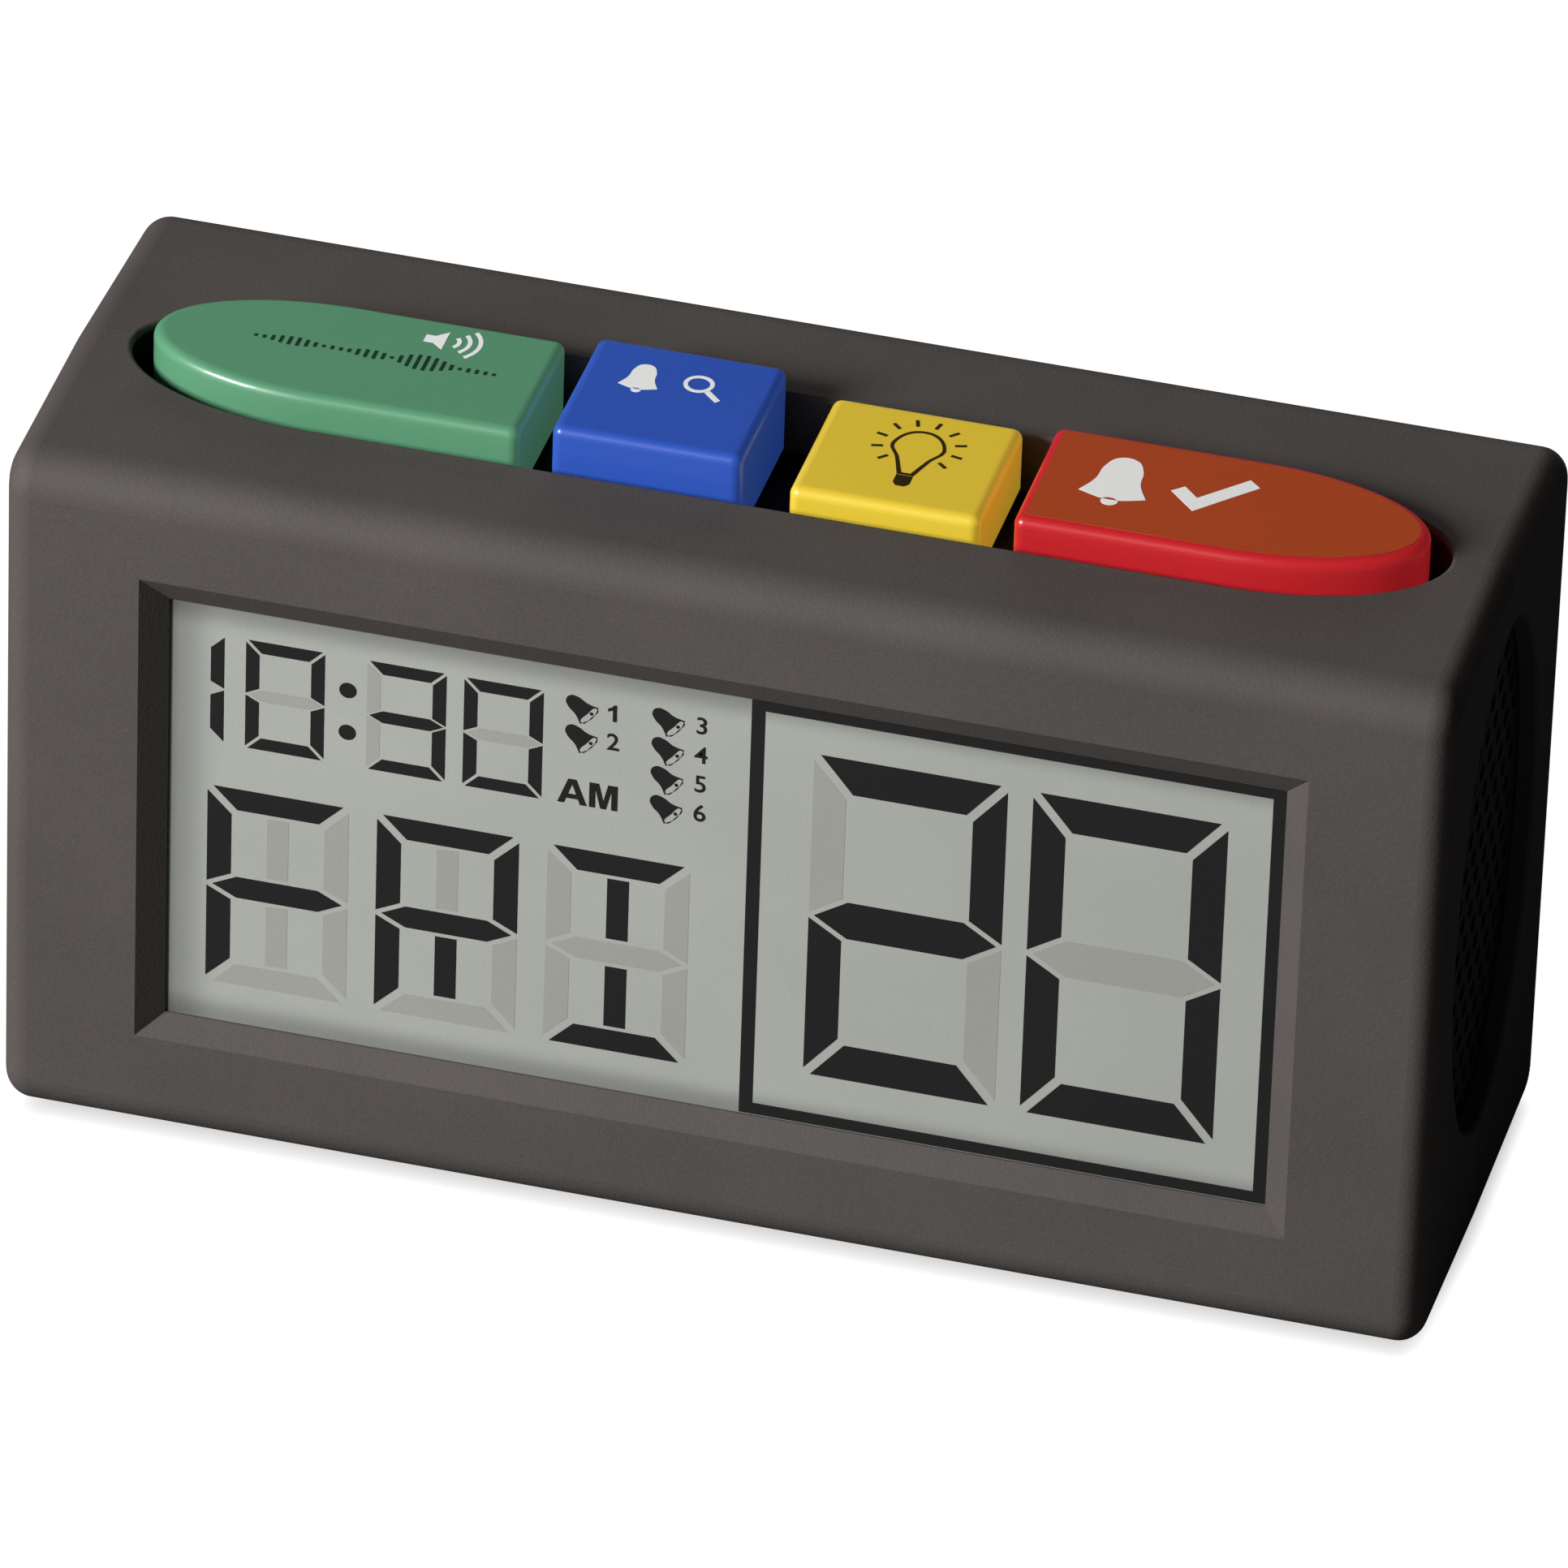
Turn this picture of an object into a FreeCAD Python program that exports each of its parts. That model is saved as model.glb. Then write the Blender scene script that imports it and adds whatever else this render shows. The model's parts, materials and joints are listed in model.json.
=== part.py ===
"""Talking clock: a clamshell case with a large display, four top keys and a side speaker.

X runs to the right, Y to the rear and Z up. The origin is on the table, under the middle
of the case. Lengths are in millimetres.
"""
import FreeCAD, Part
import math
import os
import re

import Sketcher

os.makedirs("parts", exist_ok=True)
doc = FreeCAD.newDocument("TalkingClock")

SIZES = {
    # Case
    "case_width": 165.0,
    "case_height": 89.0,
    "front_depth": 28.0,
    "rear_depth": 30.0,
    "case_wall": 2.2,
    "edge_radius": 4.6,
    "end_edge_radius": 3.2,
    "top_fall_front": 1.0,
    "top_fall_rear": 1.35,
    "base_rise_front": 1.3,
    "base_rise_rear": 0.2,
    "seam_gap": 0.14,
    "rim_radius": 0.5,
    # Display window and what is stacked behind it
    "window_side": 18.75,
    "window_lift": 16.45,
    "window_drop": 17.05,
    "bevel_depth": 2.45,
    "bevel_side": 2.85,
    "bevel_top": 3.5,
    "bevel_bottom": 2.2,
    "rim_margin": 1.2,
    "lcd_setback": 0.35,
    "lcd_lap": 2.25,
    "glass_thickness": 1.1,
    "glass_ledge": 2.0,
    "lcd_clear": 0.3,
    "frame_wall": 1.3,
    "frame_ledge": 2.0,
    "backlight_thickness": 3.2,
    "backlight_side_gap": 3.0,
    "backlight_strip_gap": 0.4,
    "strip_thickness": 1.8,
    "strip_end_gap": 2.75,
    "board_room": 3.6,
    "board_reach_x": 6.25,
    "board_reach_z": 10.25,
    "board_thickness": 1.6,
    "board_post_inset_x": 12.0,
    "board_post_inset_z": 2.8,
    "board_post_radius": 2.4,
    "voice_chip_width": 14.0,
    "voice_chip_height": 10.0,
    "voice_chip_thickness": 2.2,
    "voice_chip_shift": 24.0,
    "clock_chip_width": 18.0,
    "clock_chip_thickness": 1.6,
    "clock_chip_shift": 16.0,
    "crystal_radius": 1.5,
    "crystal_length": 8.0,
    "crystal_shift": 40.0,
    # Top keys, their slot and their tray
    "key_width": 21.8,
    "key_depth": 20.1,
    "key_tip_inset": 9.5,
    "key_bow": 21.0,
    "key_mid_gap": 5.4,
    "key_gap": 3.7,
    "key_tip_gap": 2.5,
    "key_side_gap": 1.6,
    "key_edge_radius": 1.2,
    "talk_rise": 2.75,
    "check_rise": 4.15,
    "light_rise": 1.45,
    "acknowledge_rise": 2.55,
    "key_sink": 6.0,
    "key_travel": 1.5,
    "key_floor_gap": 0.7,
    "key_wall": 1.6,
    "key_roof": 1.8,
    "stem_radius": 2.0,
    "stem_touch_gap": 0.2,
    "leg_inset": 4.5,
    "leg_width": 4.0,
    "leg_thickness": 1.8,
    "barb_reach": 0.8,
    "barb_height": 1.2,
    "barb_gap": 0.3,
    "guide_clear": 0.35,
    "tray_board_gap": 2.65,
    "collar_wall": 1.5,
    "tray_thickness": 1.6,
    "tray_post_radius": 2.2,
    "tray_post_spread": 8.0,
    "tray_post_drop": 6.0,
    "key_board_overhang": 8.0,
    "key_board_depth": 21.0,
    "switch_width": 6.0,
    "switch_height": 3.6,
    "plunger_radius": 1.7,
    "plunger_height": 1.4,
    "spring_radius": 3.2,
    "spring_wire": 0.5,
    "spring_turn_count": 5,
    # End grilles and the speaker
    "oval_front_margin": 8.5,
    "oval_base_margin": 15.5,
    "oval_top_margin": 8.5,
    "grille_thickness": 1.6,
    "grille_lap": 2.5,
    "hole_radius": 1.1,
    "hole_pitch": 3.9,
    "hole_margin": 1.9,
    "rib_thickness": 1.5,
    "rib_height": 20.0,
    "rib_lap": 2.0,
    "seat_ring_height": 1.5,
    "seat_ring_wall": 2.7,
    "speaker_radius": 18.5,
    "flange_thickness": 1.0,
    "flange_width": 3.0,
    "gasket_thickness": 0.8,
    "basket_depth": 8.6,
    "basket_wall": 0.8,
    "basket_back_radius": 9.5,
    "magnet_radius": 9.0,
    "magnet_height": 6.0,
    "cone_depth": 5.0,
    "cone_neck_radius": 5.0,
    "cone_thickness": 0.5,
    "cone_edge_gap": 0.4,
    # Rear controls
    "rear_gap_share": 0.273,
    "controls_lift_share": 0.517,
    "recess_width": 46.0,
    "recess_height": 38.0,
    "recess_radius": 3.0,
    "panel_lap": 2.0,
    "panel_thickness": 1.6,
    "panel_post_inset": 3.0,
    "panel_post_radius": 2.2,
    "panel_post_length": 5.0,
    "set_key_width": 8.4,
    "set_key_height": 5.6,
    "set_key_margin_x": 5.8,
    "set_key_pitch_z": 9.5,
    "set_key_margin_z": 5.2,
    "set_key_radius": 1.2,
    "set_key_edge": 0.4,
    "set_key_sink": 0.8,
    "set_key_clear": 0.35,
    "set_key_lip": 0.9,
    "set_key_lip_thickness": 1.0,
    "set_key_lip_gap": 0.2,
    "set_key_stem_radius": 1.6,
    "set_key_stem_length": 1.3,
    "set_key_travel": 0.8,
    "mat_thickness": 1.0,
    "mat_margin": 3.0,
    "dome_radius": 2.5,
    "switch_body_width": 13.0,
    "switch_body_height": 6.0,
    "switch_body_depth": 3.4,
    "slider_margin": 7.5,
    "slider_width": 4.4,
    "slider_height": 3.6,
    "slider_travel": 4.0,
    "slider_foot_height": 4.8,
    "slider_foot_thickness": 0.8,
    # Battery bay and door
    "cell_radius": 7.2,
    "cell_length": 50.4,
    "cell_nub_radius": 2.75,
    "cell_nub_length": 1.0,
    "cell_gap": 0.6,
    "cell_clear": 0.4,
    "spring_room": 5.6,
    "plate_thickness": 0.5,
    "plate_width": 10.0,
    "battery_spring_radius": 3.4,
    "battery_spring_wire": 0.6,
    "battery_spring_turn_count": 4,
    "bay_lift_share": 0.489,
    "bay_wall": 1.5,
    "bay_rim_depth": 2.5,
    "door_lap": 2.3,
    "door_gap": 0.3,
    "door_thickness": 2.0,
    "door_radius": 2.0,
    "tab_width": 8.0,
    "tab_thickness": 1.3,
    "tab_reach": 2.0,
    "tab_root": 2.0,
    "tab_spread": 18.0,
    "tab_clear": 0.4,
    "latch_width": 12.0,
    "latch_thickness": 1.2,
    "latch_reach": 1.8,
    "notch_width": 15.0,
    "notch_height": 3.2,
    "groove_width": 20.0,
    "groove_height": 1.0,
    "groove_depth": 0.5,
    "groove_pitch": 2.2,
    "groove_drop": 5.0,
    # Fasteners, feet and leads
    "boss_radius": 3.6,
    "boss_inset": 8.0,
    "boss_lift": 9.0,
    "boss_shelf": 8.0,
    "boss_reach": 14.0,
    "well_radius": 2.6,
    "case_screw_head_radius": 2.3,
    "case_screw_head_height": 1.6,
    "case_screw_radius": 1.25,
    "case_screw_length": 20.0,
    "cross_length": 2.6,
    "cross_width": 0.7,
    "cross_depth": 0.9,
    "small_screw_head_radius": 1.9,
    "small_screw_head_height": 1.1,
    "small_screw_radius": 0.9,
    "small_screw_length": 4.6,
    "screw_clear": 0.1,
    "foot_proud": 0.8,
    "foot_recess": 0.5,
    "foot_radius": 5.0,
    "foot_inset_x": 18.0,
    "foot_inset_y": 15.0,
    "lead_radius": 0.6,
    "lead_spacing": 2.4,
    "lead_stub": 5.0,
    # Fits
    "seat_gap": 0.1,
    "overrun": 1.0,
}

# Places that follow from the sizes
PLACES = {
    "half_x": "case_width / 2",
    "inner_x": "half_x - case_wall",
    "parting_y": "(front_depth - rear_depth) / 2",
    "front_y": "parting_y - front_depth",
    "rear_y": "parting_y + rear_depth",
    "front_seam_y": "parting_y - seam_gap / 2",
    "rear_seam_y": "parting_y + seam_gap / 2",
    "inner_front_y": "front_y + case_wall",
    "inner_rear_y": "rear_y - case_wall",
    "base_z": "foot_proud",
    "ridge_z": "base_z + case_height",
    "window_x": "half_x - window_side",
    "window_height": "case_height - window_lift - window_drop",
    "window_z0": "base_z + window_lift",
    "window_z1": "window_z0 + window_height",
    "screen_z": "window_z0 + window_height / 2",
    "bevel_y": "front_y + bevel_depth",
    "lcd_y": "bevel_y + lcd_setback",
    "lcd_half_x": "window_x + lcd_lap",
    "lcd_half_z": "window_height / 2 + lcd_lap",
    "lcd_back_y": "lcd_y + 2 * glass_thickness",
    "board_y": "lcd_back_y + board_room",
    "board_back_y": "board_y + board_thickness",
    "board_half_x": "window_x + board_reach_x",
    "board_half_z": "window_height / 2 + board_reach_z",
    "board_post_x": "board_half_x - board_post_inset_x",
    "board_post_z": "board_half_z - board_post_inset_z",
    "screw_back_y": "board_back_y + seat_gap + small_screw_head_height",
    "slot_half_y": "key_depth / 2 + key_side_gap",
    "slot_y": "screw_back_y + tray_board_gap + collar_wall + slot_half_y",
    "end_key_x": "key_mid_gap / 2 + key_width + key_gap",
    "key_tip_x": "half_x - key_tip_inset",
    "key_bow_x": "key_tip_x - key_bow",
    "slot_bow": "key_bow + key_tip_gap",
    "key_floor_z": "ridge_z - key_sink",
    "tray_z1": "key_floor_z - key_travel - key_floor_gap",
    "tray_z0": "tray_z1 - tray_thickness",
    "post_x": "key_mid_gap / 2 + key_width + key_gap / 2",
    "key_board_z1": "tray_z0 - tray_post_drop",
    "key_board_z0": "key_board_z1 - board_thickness",
    "key_board_x": "(key_tip_x + end_key_x) / 2 + key_board_overhang",
    "switch_z": "key_board_z1 + switch_height + plunger_height",
    "stem_z": "switch_z + key_travel + stem_touch_gap",
    "barb_z1": "tray_z0 - barb_gap",
    "barb_z0": "barb_z1 - barb_height",
    "oval_half_y": "front_depth - oval_front_margin",
    "oval_half_z": "(case_height - oval_base_margin - oval_top_margin) / 2",
    "oval_z": "base_z + oval_base_margin + oval_half_z",
    "grille_x1": "inner_x - seat_gap",
    "grille_x0": "grille_x1 - grille_thickness",
    "grille_half_y": "oval_half_y + grille_lap",
    "grille_half_z": "oval_half_z + grille_lap",
    "gasket_x1": "grille_x0 - seat_ring_height - seat_gap",
    "flange_x1": "gasket_x1 - gasket_thickness - seat_gap",
    "magnet_x1": "flange_x1 - basket_depth - seat_gap",
    "rear_half_x": "grille_x0 - rib_thickness",
    "bay_outer_x": "door_half_x + bay_wall",
    "rear_gap": "rear_gap_share * 2 * (rear_half_x - bay_outer_x - panel_half_x)",
    "bay_x": "rear_gap + bay_outer_x - rear_half_x",
    "controls_x": "bay_x + bay_outer_x + rear_gap + panel_half_x",
    "controls_z": "base_z + controls_lift_share * case_height",
    "set_key_pitch_x": "(recess_width - set_key_width) / 2 - set_key_margin_x",
    "set_key_z0": "controls_z - recess_height / 2 + set_key_margin_z + set_key_height / 2",
    "panel_y1": "inner_rear_y - seat_gap",
    "panel_y0": "panel_y1 - panel_thickness",
    "panel_half_x": "recess_width / 2 + panel_lap",
    "panel_half_z": "recess_height / 2 + panel_lap",
    "rear_board_y1": "panel_y0 - panel_post_length",
    "rear_board_y0": "rear_board_y1 - board_thickness",
    "lip_y1": "panel_y0 - set_key_lip_gap",
    "lip_y0": "lip_y1 - set_key_lip_thickness",
    "set_key_y0": "lip_y0 - set_key_stem_length",
    "dome_y1": "set_key_y0 - set_key_travel - seat_gap",
    "slider_z": "controls_z + recess_height / 2 - slider_margin",
    "switch_body_y1": "rear_board_y1 + switch_body_depth",
    "cell_pitch": "2 * cell_radius + cell_gap",
    "bay_half_x": "(cell_length + spring_room + plate_thickness + 2 * seat_gap) / 2",
    "bay_half_z": "(3 * cell_pitch + cell_gap) / 2",
    "bay_z": "base_z + bay_lift_share * case_height",
    "door_y": "rear_y - door_thickness",
    "cell_y": "door_y - cell_clear - cell_radius",
    "bay_y": "cell_y - cell_radius - cell_clear",
    "door_half_x": "bay_half_x + door_lap",
    "door_half_z": "bay_half_z + door_lap",
    "door_z0": "bay_z - door_half_z",
    "door_z1": "bay_z + door_half_z",
    "tab_y1": "door_y - tab_clear",
    "tab_y0": "tab_y1 - tab_thickness",
    "boss_x": "half_x - boss_inset",
    "boss_top_z": "tray_z0 - seat_gap - boss_radius",
    "boss_base_z": "base_z + boss_lift",
    "foot_x": "half_x - foot_inset_x",
    "front_foot_z": "base_z + base_rise_front + foot_recess",
    "rear_foot_z": "base_z + base_rise_rear + foot_recess",
}

sheet = doc.addObject("Spreadsheet::Sheet", "Sizes")
for row, (alias, number) in enumerate(SIZES.items(), start=1):
    sheet.set(f"A{row}", alias)
    sheet.set(f"B{row}", str(number))
    sheet.setAlias(f"B{row}", alias)
doc.recompute()

TOLERANCE = 1e-4
FULL_TURN = 360
QUARTER_TURN = 90
UP = FreeCAD.Vector(0, 0, 1)
AXES = {"X": FreeCAD.Vector(1, 0, 0), "Y": FreeCAD.Vector(0, 1, 0), "Z": UP}
# Turns that bring a piece drawn along Z into line with an axis
FACING = {
    "X": FreeCAD.Rotation(AXES["Y"], QUARTER_TURN),
    "-X": FreeCAD.Rotation(AXES["Y"], -QUARTER_TURN),
    "Y": FreeCAD.Rotation(AXES["X"], -QUARTER_TURN),
    "-Y": FreeCAD.Rotation(AXES["X"], QUARTER_TURN),
    "Z": FreeCAD.Rotation(),
    "-Z": FreeCAD.Rotation(AXES["X"], 2 * QUARTER_TURN),
}
nodes = []


def size(alias):
    """The number in one cell of the sheet."""
    return float(sheet.get(alias))


def spelled(text):
    """A size expression with each name spelled out in cells of the sheet."""
    def cell(match):
        word = match.group()
        if word in PLACES:
            return "(" + spelled(PLACES[word]) + ")"
        return f"{sheet.Name}.{word}" if word in SIZES else word
    return re.sub(r"[a-z]\w*", cell, text)


def bind(item, **expressions):
    """Tie properties of an object to the sheet."""
    for name, text in expressions.items():
        item.setExpression(name, spelled(text))


def stand(item, x, y, z, facing="Z"):
    """Turn an object to its axis and tie its place to the sheet."""
    item.Placement = FreeCAD.Placement(FreeCAD.Vector(), FACING[facing])
    for axis, text in zip("xyz", (x, y, z)):
        item.setExpression(f"Placement.Base.{axis}", spelled(text))
    return item


def node(item):
    """Mark an object as one sub-part of the clock."""
    nodes.append(item)
    return item


def about(middle, half):
    """The low and high expression of a span with this middle and half width."""
    return f"{middle} - ({half})", f"{middle} + ({half})"


def block(label, x, y, z):
    """A box between a low and a high expression on each axis."""
    box = doc.addObject("Part::Box", label)
    bind(box, Length=f"{x[1]} - ({x[0]})", Width=f"{y[1]} - ({y[0]})", Height=f"{z[1]} - ({z[0]})")
    return stand(box, x[0], y[0], z[0])


def rod(label, axis, centre, span, radius):
    """A cylinder along an axis; centre holds the two places across it."""
    cylinder = doc.addObject("Part::Cylinder", label)
    bind(cylinder, Radius=radius, Height=f"{span[1]} - ({span[0]})")
    places = list(centre)
    places.insert("XYZ".index(axis), span[0])
    return stand(cylinder, *places, facing=axis)


def oval(label, axis, centre, radii, span):
    """An elliptical cylinder along Z, or along X with its long axis upright."""
    ellipse = doc.addObject("Part::Ellipse", f"{label}_outline")
    bind(ellipse, MajorRadius=radii[0], MinorRadius=radii[1])
    places = list(centre)
    places.insert("XYZ".index(axis), span[0])
    stand(ellipse, *places, facing=axis)
    solid = doc.addObject("Part::Extrusion", label)
    solid.Base = ellipse
    solid.DirMode = "Custom"
    solid.Dir = AXES[axis]
    solid.Solid = True
    bind(solid, LengthFwd=f"{span[1]} - ({span[0]})")
    return solid


def union(label, *items):
    fused = doc.addObject("Part::MultiFuse", label)
    fused.Shapes = list(items)
    fused.Refine = True
    return fused


def overlap(label, first, second):
    shared = doc.addObject("Part::Common", label)
    shared.Base = first
    shared.Tool = second
    return shared


def group(label, items):
    """Several separate solids kept as one sub-part."""
    compound = doc.addObject("Part::Compound", label)
    compound.Links = list(items)
    return compound


def minus(label, base, *tools):
    cut = doc.addObject("Part::Cut", label)
    cut.Base = base
    cut.Tool = tools[0] if len(tools) == 1 else union(f"{label}_cutter", *tools)
    cut.Refine = True
    return cut


def rounded(label, item, pick, radius):
    """Round the edges of an object that pick chooses."""
    doc.recompute()
    chosen = [number for number, edge in enumerate(item.Shape.Edges, start=1) if pick(edge)]
    fillet = doc.addObject("Part::Fillet", label)
    fillet.Base = item
    fillet.Edges = [(number, size(radius), size(radius)) for number in chosen]
    return fillet


def along(axis):
    """Choose straight edges parallel to an axis."""
    def pick(edge):
        if not isinstance(edge.Curve, Part.Line):
            return False
        return abs(abs(edge.Curve.Direction.dot(AXES[axis])) - 1) < TOLERANCE
    return pick


def origin_plane(body, role):
    return next(part for part in body.Origin.OriginFeatures if part.Role == f"{role}_Plane")


def outline(body, label, plane, corners, lift):
    """A closed sketch of straight lines whose corners are tied to the sheet."""
    sketch = body.newObject("Sketcher::SketchObject", label)
    sketch.AttachmentSupport = [(origin_plane(body, plane), "")]
    sketch.MapMode = "FlatFace"
    sketch.setExpression("AttachmentOffset.Base.z", spelled(lift))
    count = len(corners)
    turns = [math.tau * number / count for number in range(count)]
    start = [FreeCAD.Vector(math.cos(turn), math.sin(turn)) for turn in turns]
    for number in range(count):
        sketch.addGeometry(Part.LineSegment(start[number], start[(number + 1) % count]))
    for number in range(count):
        following = (number + 1) % count
        sketch.addConstraint(Sketcher.Constraint("Coincident", number, 2, following, 1))
    for number, corner in enumerate(corners):
        spot = start[number]
        for kind, text, value in zip(("DistanceX", "DistanceY"), corner, (spot.x, spot.y)):
            index = sketch.addConstraint(Sketcher.Constraint(kind, number, 1, value))
            sketch.setExpression(f"Constraints[{index}]", spelled(text))
    return sketch


def pad(body, label, plane, corners, low, high):
    """Add an outline's solid between two places along the plane's axis."""
    lift = f"-({high})" if plane == "XZ" else low
    feature = body.newObject("PartDesign::Pad", label)
    feature.Profile = outline(body, f"{label}_outline", plane, corners, lift)
    bind(feature, Length=f"{high} - ({low})")
    return feature


def pocket(body, label, plane, corners, low, high):
    """Take an outline's solid away between two places along the plane's axis."""
    lift = f"-({low})" if plane == "XZ" else high
    feature = body.newObject("PartDesign::Pocket", label)
    feature.Profile = outline(body, f"{label}_outline", plane, corners, lift)
    bind(feature, Length=f"{high} - ({low})")
    return feature


def soften(body, label, pick, radius):
    """Round the edges of a body's last feature that pick chooses."""
    doc.recompute()
    base = body.Tip
    chosen = [f"Edge{n}" for n, edge in enumerate(base.Shape.Edges, start=1) if pick(edge)]
    feature = body.newObject("PartDesign::Fillet", label)
    feature.Base = (base, chosen)
    bind(feature, Radius=radius)
    return feature


def turned(label, profile):
    """A body turned about its own Z axis from corners of radius and height."""
    body = doc.addObject("PartDesign::Body", label)
    sketch = outline(body, f"{label}_profile", "XZ", profile, "0")
    revolution = body.newObject("PartDesign::Revolution", f"{label}_turn")
    revolution.Profile = sketch
    revolution.ReferenceAxis = (sketch, ["V_Axis"])
    revolution.Angle = FULL_TURN
    return body


def rectangle(x, z):
    """The four corners of a rectangle between the expressions of two spans."""
    return [(x[0], z[0]), (x[1], z[0]), (x[1], z[1]), (x[0], z[1])]


def screw(label, head_radius, head_height, shank_radius, length):
    """A pan-head screw, its head from Z zero up and its shank down."""
    return turned(label, [
        ("0", f"-({length})"), (shank_radius, f"-({length})"), (shank_radius, "0"),
        (head_radius, "0"), (head_radius, f"{head_height} / 2"),
        (f"{head_radius} / 2", head_height), ("0", head_height)])


def small_screw(label):
    return screw(label, "small_screw_head_radius", "small_screw_head_height",
                 "small_screw_radius", "small_screw_length")


def bend(first, corner, last):
    """The arc between two points as far from a corner, tangent to the lines to it."""
    reach = (first - corner).Length
    back = (first - corner).normalize()
    ahead = (last - corner).normalize()
    half_turn = (math.pi - back.getAngle(ahead)) / 2
    radius = reach / math.tan(half_turn)
    middle = corner + (back + ahead).normalize() * (radius / math.cos(half_turn) - radius)
    return Part.Arc(first, middle, last).toShape()


def coil(label, radius, wire, length, turn_count):
    """A round-wire compression spring whose first turn starts with its middle on Z zero."""
    rise = (length - wire) / turn_count
    steps_per_turn = 4

    def spot(step):
        turn = math.tau * step / steps_per_turn
        return FreeCAD.Vector(radius * math.cos(turn), radius * math.sin(turn), rise * step / steps_per_turn)

    def heading(step):
        turn = math.tau * step / steps_per_turn
        lean = FreeCAD.Vector(-math.sin(turn), math.cos(turn), rise / (math.tau * radius))
        return lean.normalize()

    edges = []
    for step in range(steps_per_turn * turn_count):
        start, finish = spot(step), spot(step + 1)
        leave, arrive = heading(step), heading(step + 1)
        span = finish - start
        share = 2 * (1 - leave.dot(arrive))
        pull = span.dot(leave + arrive)
        reach = (math.sqrt(pull ** 2 + share * span.dot(span)) - pull) / share
        first, second = start + leave * reach, finish - arrive * reach
        joint = (first + second) / 2
        edges += [bend(start, first, joint), bend(joint, second, finish)]
    ring = Part.Circle(spot(0), heading(0), wire / 2).toShape()
    spring = doc.addObject("Part::Feature", label)
    spring.Shape = Part.Wire(edges).makePipeShell([Part.Wire([ring])], True, False)
    return spring


# Case halves

def case_half(label, side, inset):
    """One drafted half of the case, or the hollow in it, with rounded outer edges."""
    body = doc.addObject("PartDesign::Body", label)
    if side == "front":
        outer_y, seam_y = f"front_y + {inset}", "front_seam_y"
    else:
        outer_y, seam_y = f"rear_y - {inset}", "rear_seam_y"
    corners = [
        (outer_y, f"base_z + base_rise_{side} + {inset}"),
        (outer_y, f"ridge_z - top_fall_{side} - {inset}"),
        (seam_y, f"ridge_z - {inset}"),
        (seam_y, f"base_z + {inset}")]
    pad(body, f"{label}_pad", "YZ", corners, *about("0", f"half_x - {inset}"))
    doc.recompute()
    box = body.Shape.BoundBox
    seam = box.YMax if side == "front" else box.YMin

    def off_seam(edge):
        return any(abs(vertex.Y - seam) > TOLERANCE for vertex in edge.Vertexes)

    def lengthwise(edge):
        return off_seam(edge) and edge.BoundBox.XLength > box.XLength / 2

    def at_ends(edge):
        return off_seam(edge) and edge.BoundBox.XLength < TOLERANCE

    soften(body, f"{label}_long_round", lengthwise, f"edge_radius - {inset}")
    doc.recompute()
    soften(body, f"{label}_end_round", at_ends, f"end_edge_radius - {inset}")
    return body


def stadium(label, grow, z):
    """The key slot's form, straight sides with elliptical ends, grown by a width."""
    ends = [
        oval(f"{label}_end_{name}", "Z", (f"{sign} * key_bow_x", "slot_y"),
             (f"slot_bow + {grow}", f"slot_half_y + {grow}"), z)
        for name, sign in (("left", "-1"), ("right", "1"))]
    middle = block(f"{label}_middle", about("0", "key_bow_x"),
                   about("slot_y", f"slot_half_y + {grow}"), z)
    return union(label, middle, *ends)


def case_bosses(side):
    """Screw bosses from a half's face to the seam, and the holes through them."""
    bosses = []
    holes = []
    for name, x in (("left", "-boss_x"), ("right", "boss_x")):
        for level, z in (("low", "boss_base_z"), ("high", "boss_top_z")):
            tag = f"{side}_{name}_{level}"
            if side == "front":
                span = ("inner_front_y - case_wall / 2", "front_seam_y")
                hole = ("front_seam_y - boss_reach", "front_seam_y + overrun")
            else:
                span = ("rear_seam_y", "inner_rear_y + case_wall / 2")
                hole = ("rear_seam_y - overrun", "rear_y + overrun")
                well = ("parting_y + boss_shelf", "rear_y + overrun")
                holes.append(rod(f"well_{tag}", "Y", (x, z), well, "well_radius"))
            bosses.append(rod(f"boss_{tag}", "Y", (x, z), span, "boss_radius"))
            holes.append(rod(f"bore_{tag}", "Y", (x, z), hole, "case_screw_radius + screw_clear"))
    return bosses, holes


def grille_ribs(side):
    """Ribs that hold the end grilles against the end walls."""
    if side == "front":
        span = ("inner_front_y - case_wall / 2", "parting_y - grille_half_y + rib_lap")
    else:
        span = ("parting_y + grille_half_y - rib_lap", "inner_rear_y + case_wall / 2")
    left = ("-grille_x0 + seat_gap", "-grille_x0 + seat_gap + rib_thickness")
    right = ("grille_x0 - seat_gap - rib_thickness", "grille_x0 - seat_gap")
    height = about("oval_z", "rib_height / 2")
    return [
        block(f"rib_{side}_left", left, span, height),
        block(f"rib_{side}_right", right, span, height)]


def foot_places():
    """Each foot's name, middle and the top of the pocket it sits in."""
    for side, y, top in (("front", "front_y + foot_inset_y", "front_foot_z"),
                         ("rear", "rear_y - foot_inset_y", "rear_foot_z")):
        for name, x in (("left", "-foot_x"), ("right", "foot_x")):
            yield side, f"{side}_{name}", x, y, top


def foot_pockets(side):
    return [
        rod(f"pocket_{tag}", "Z", (x, y), ("-overrun", top), "foot_radius + seat_gap")
        for half, tag, x, y, top in foot_places() if half == side]


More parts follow.
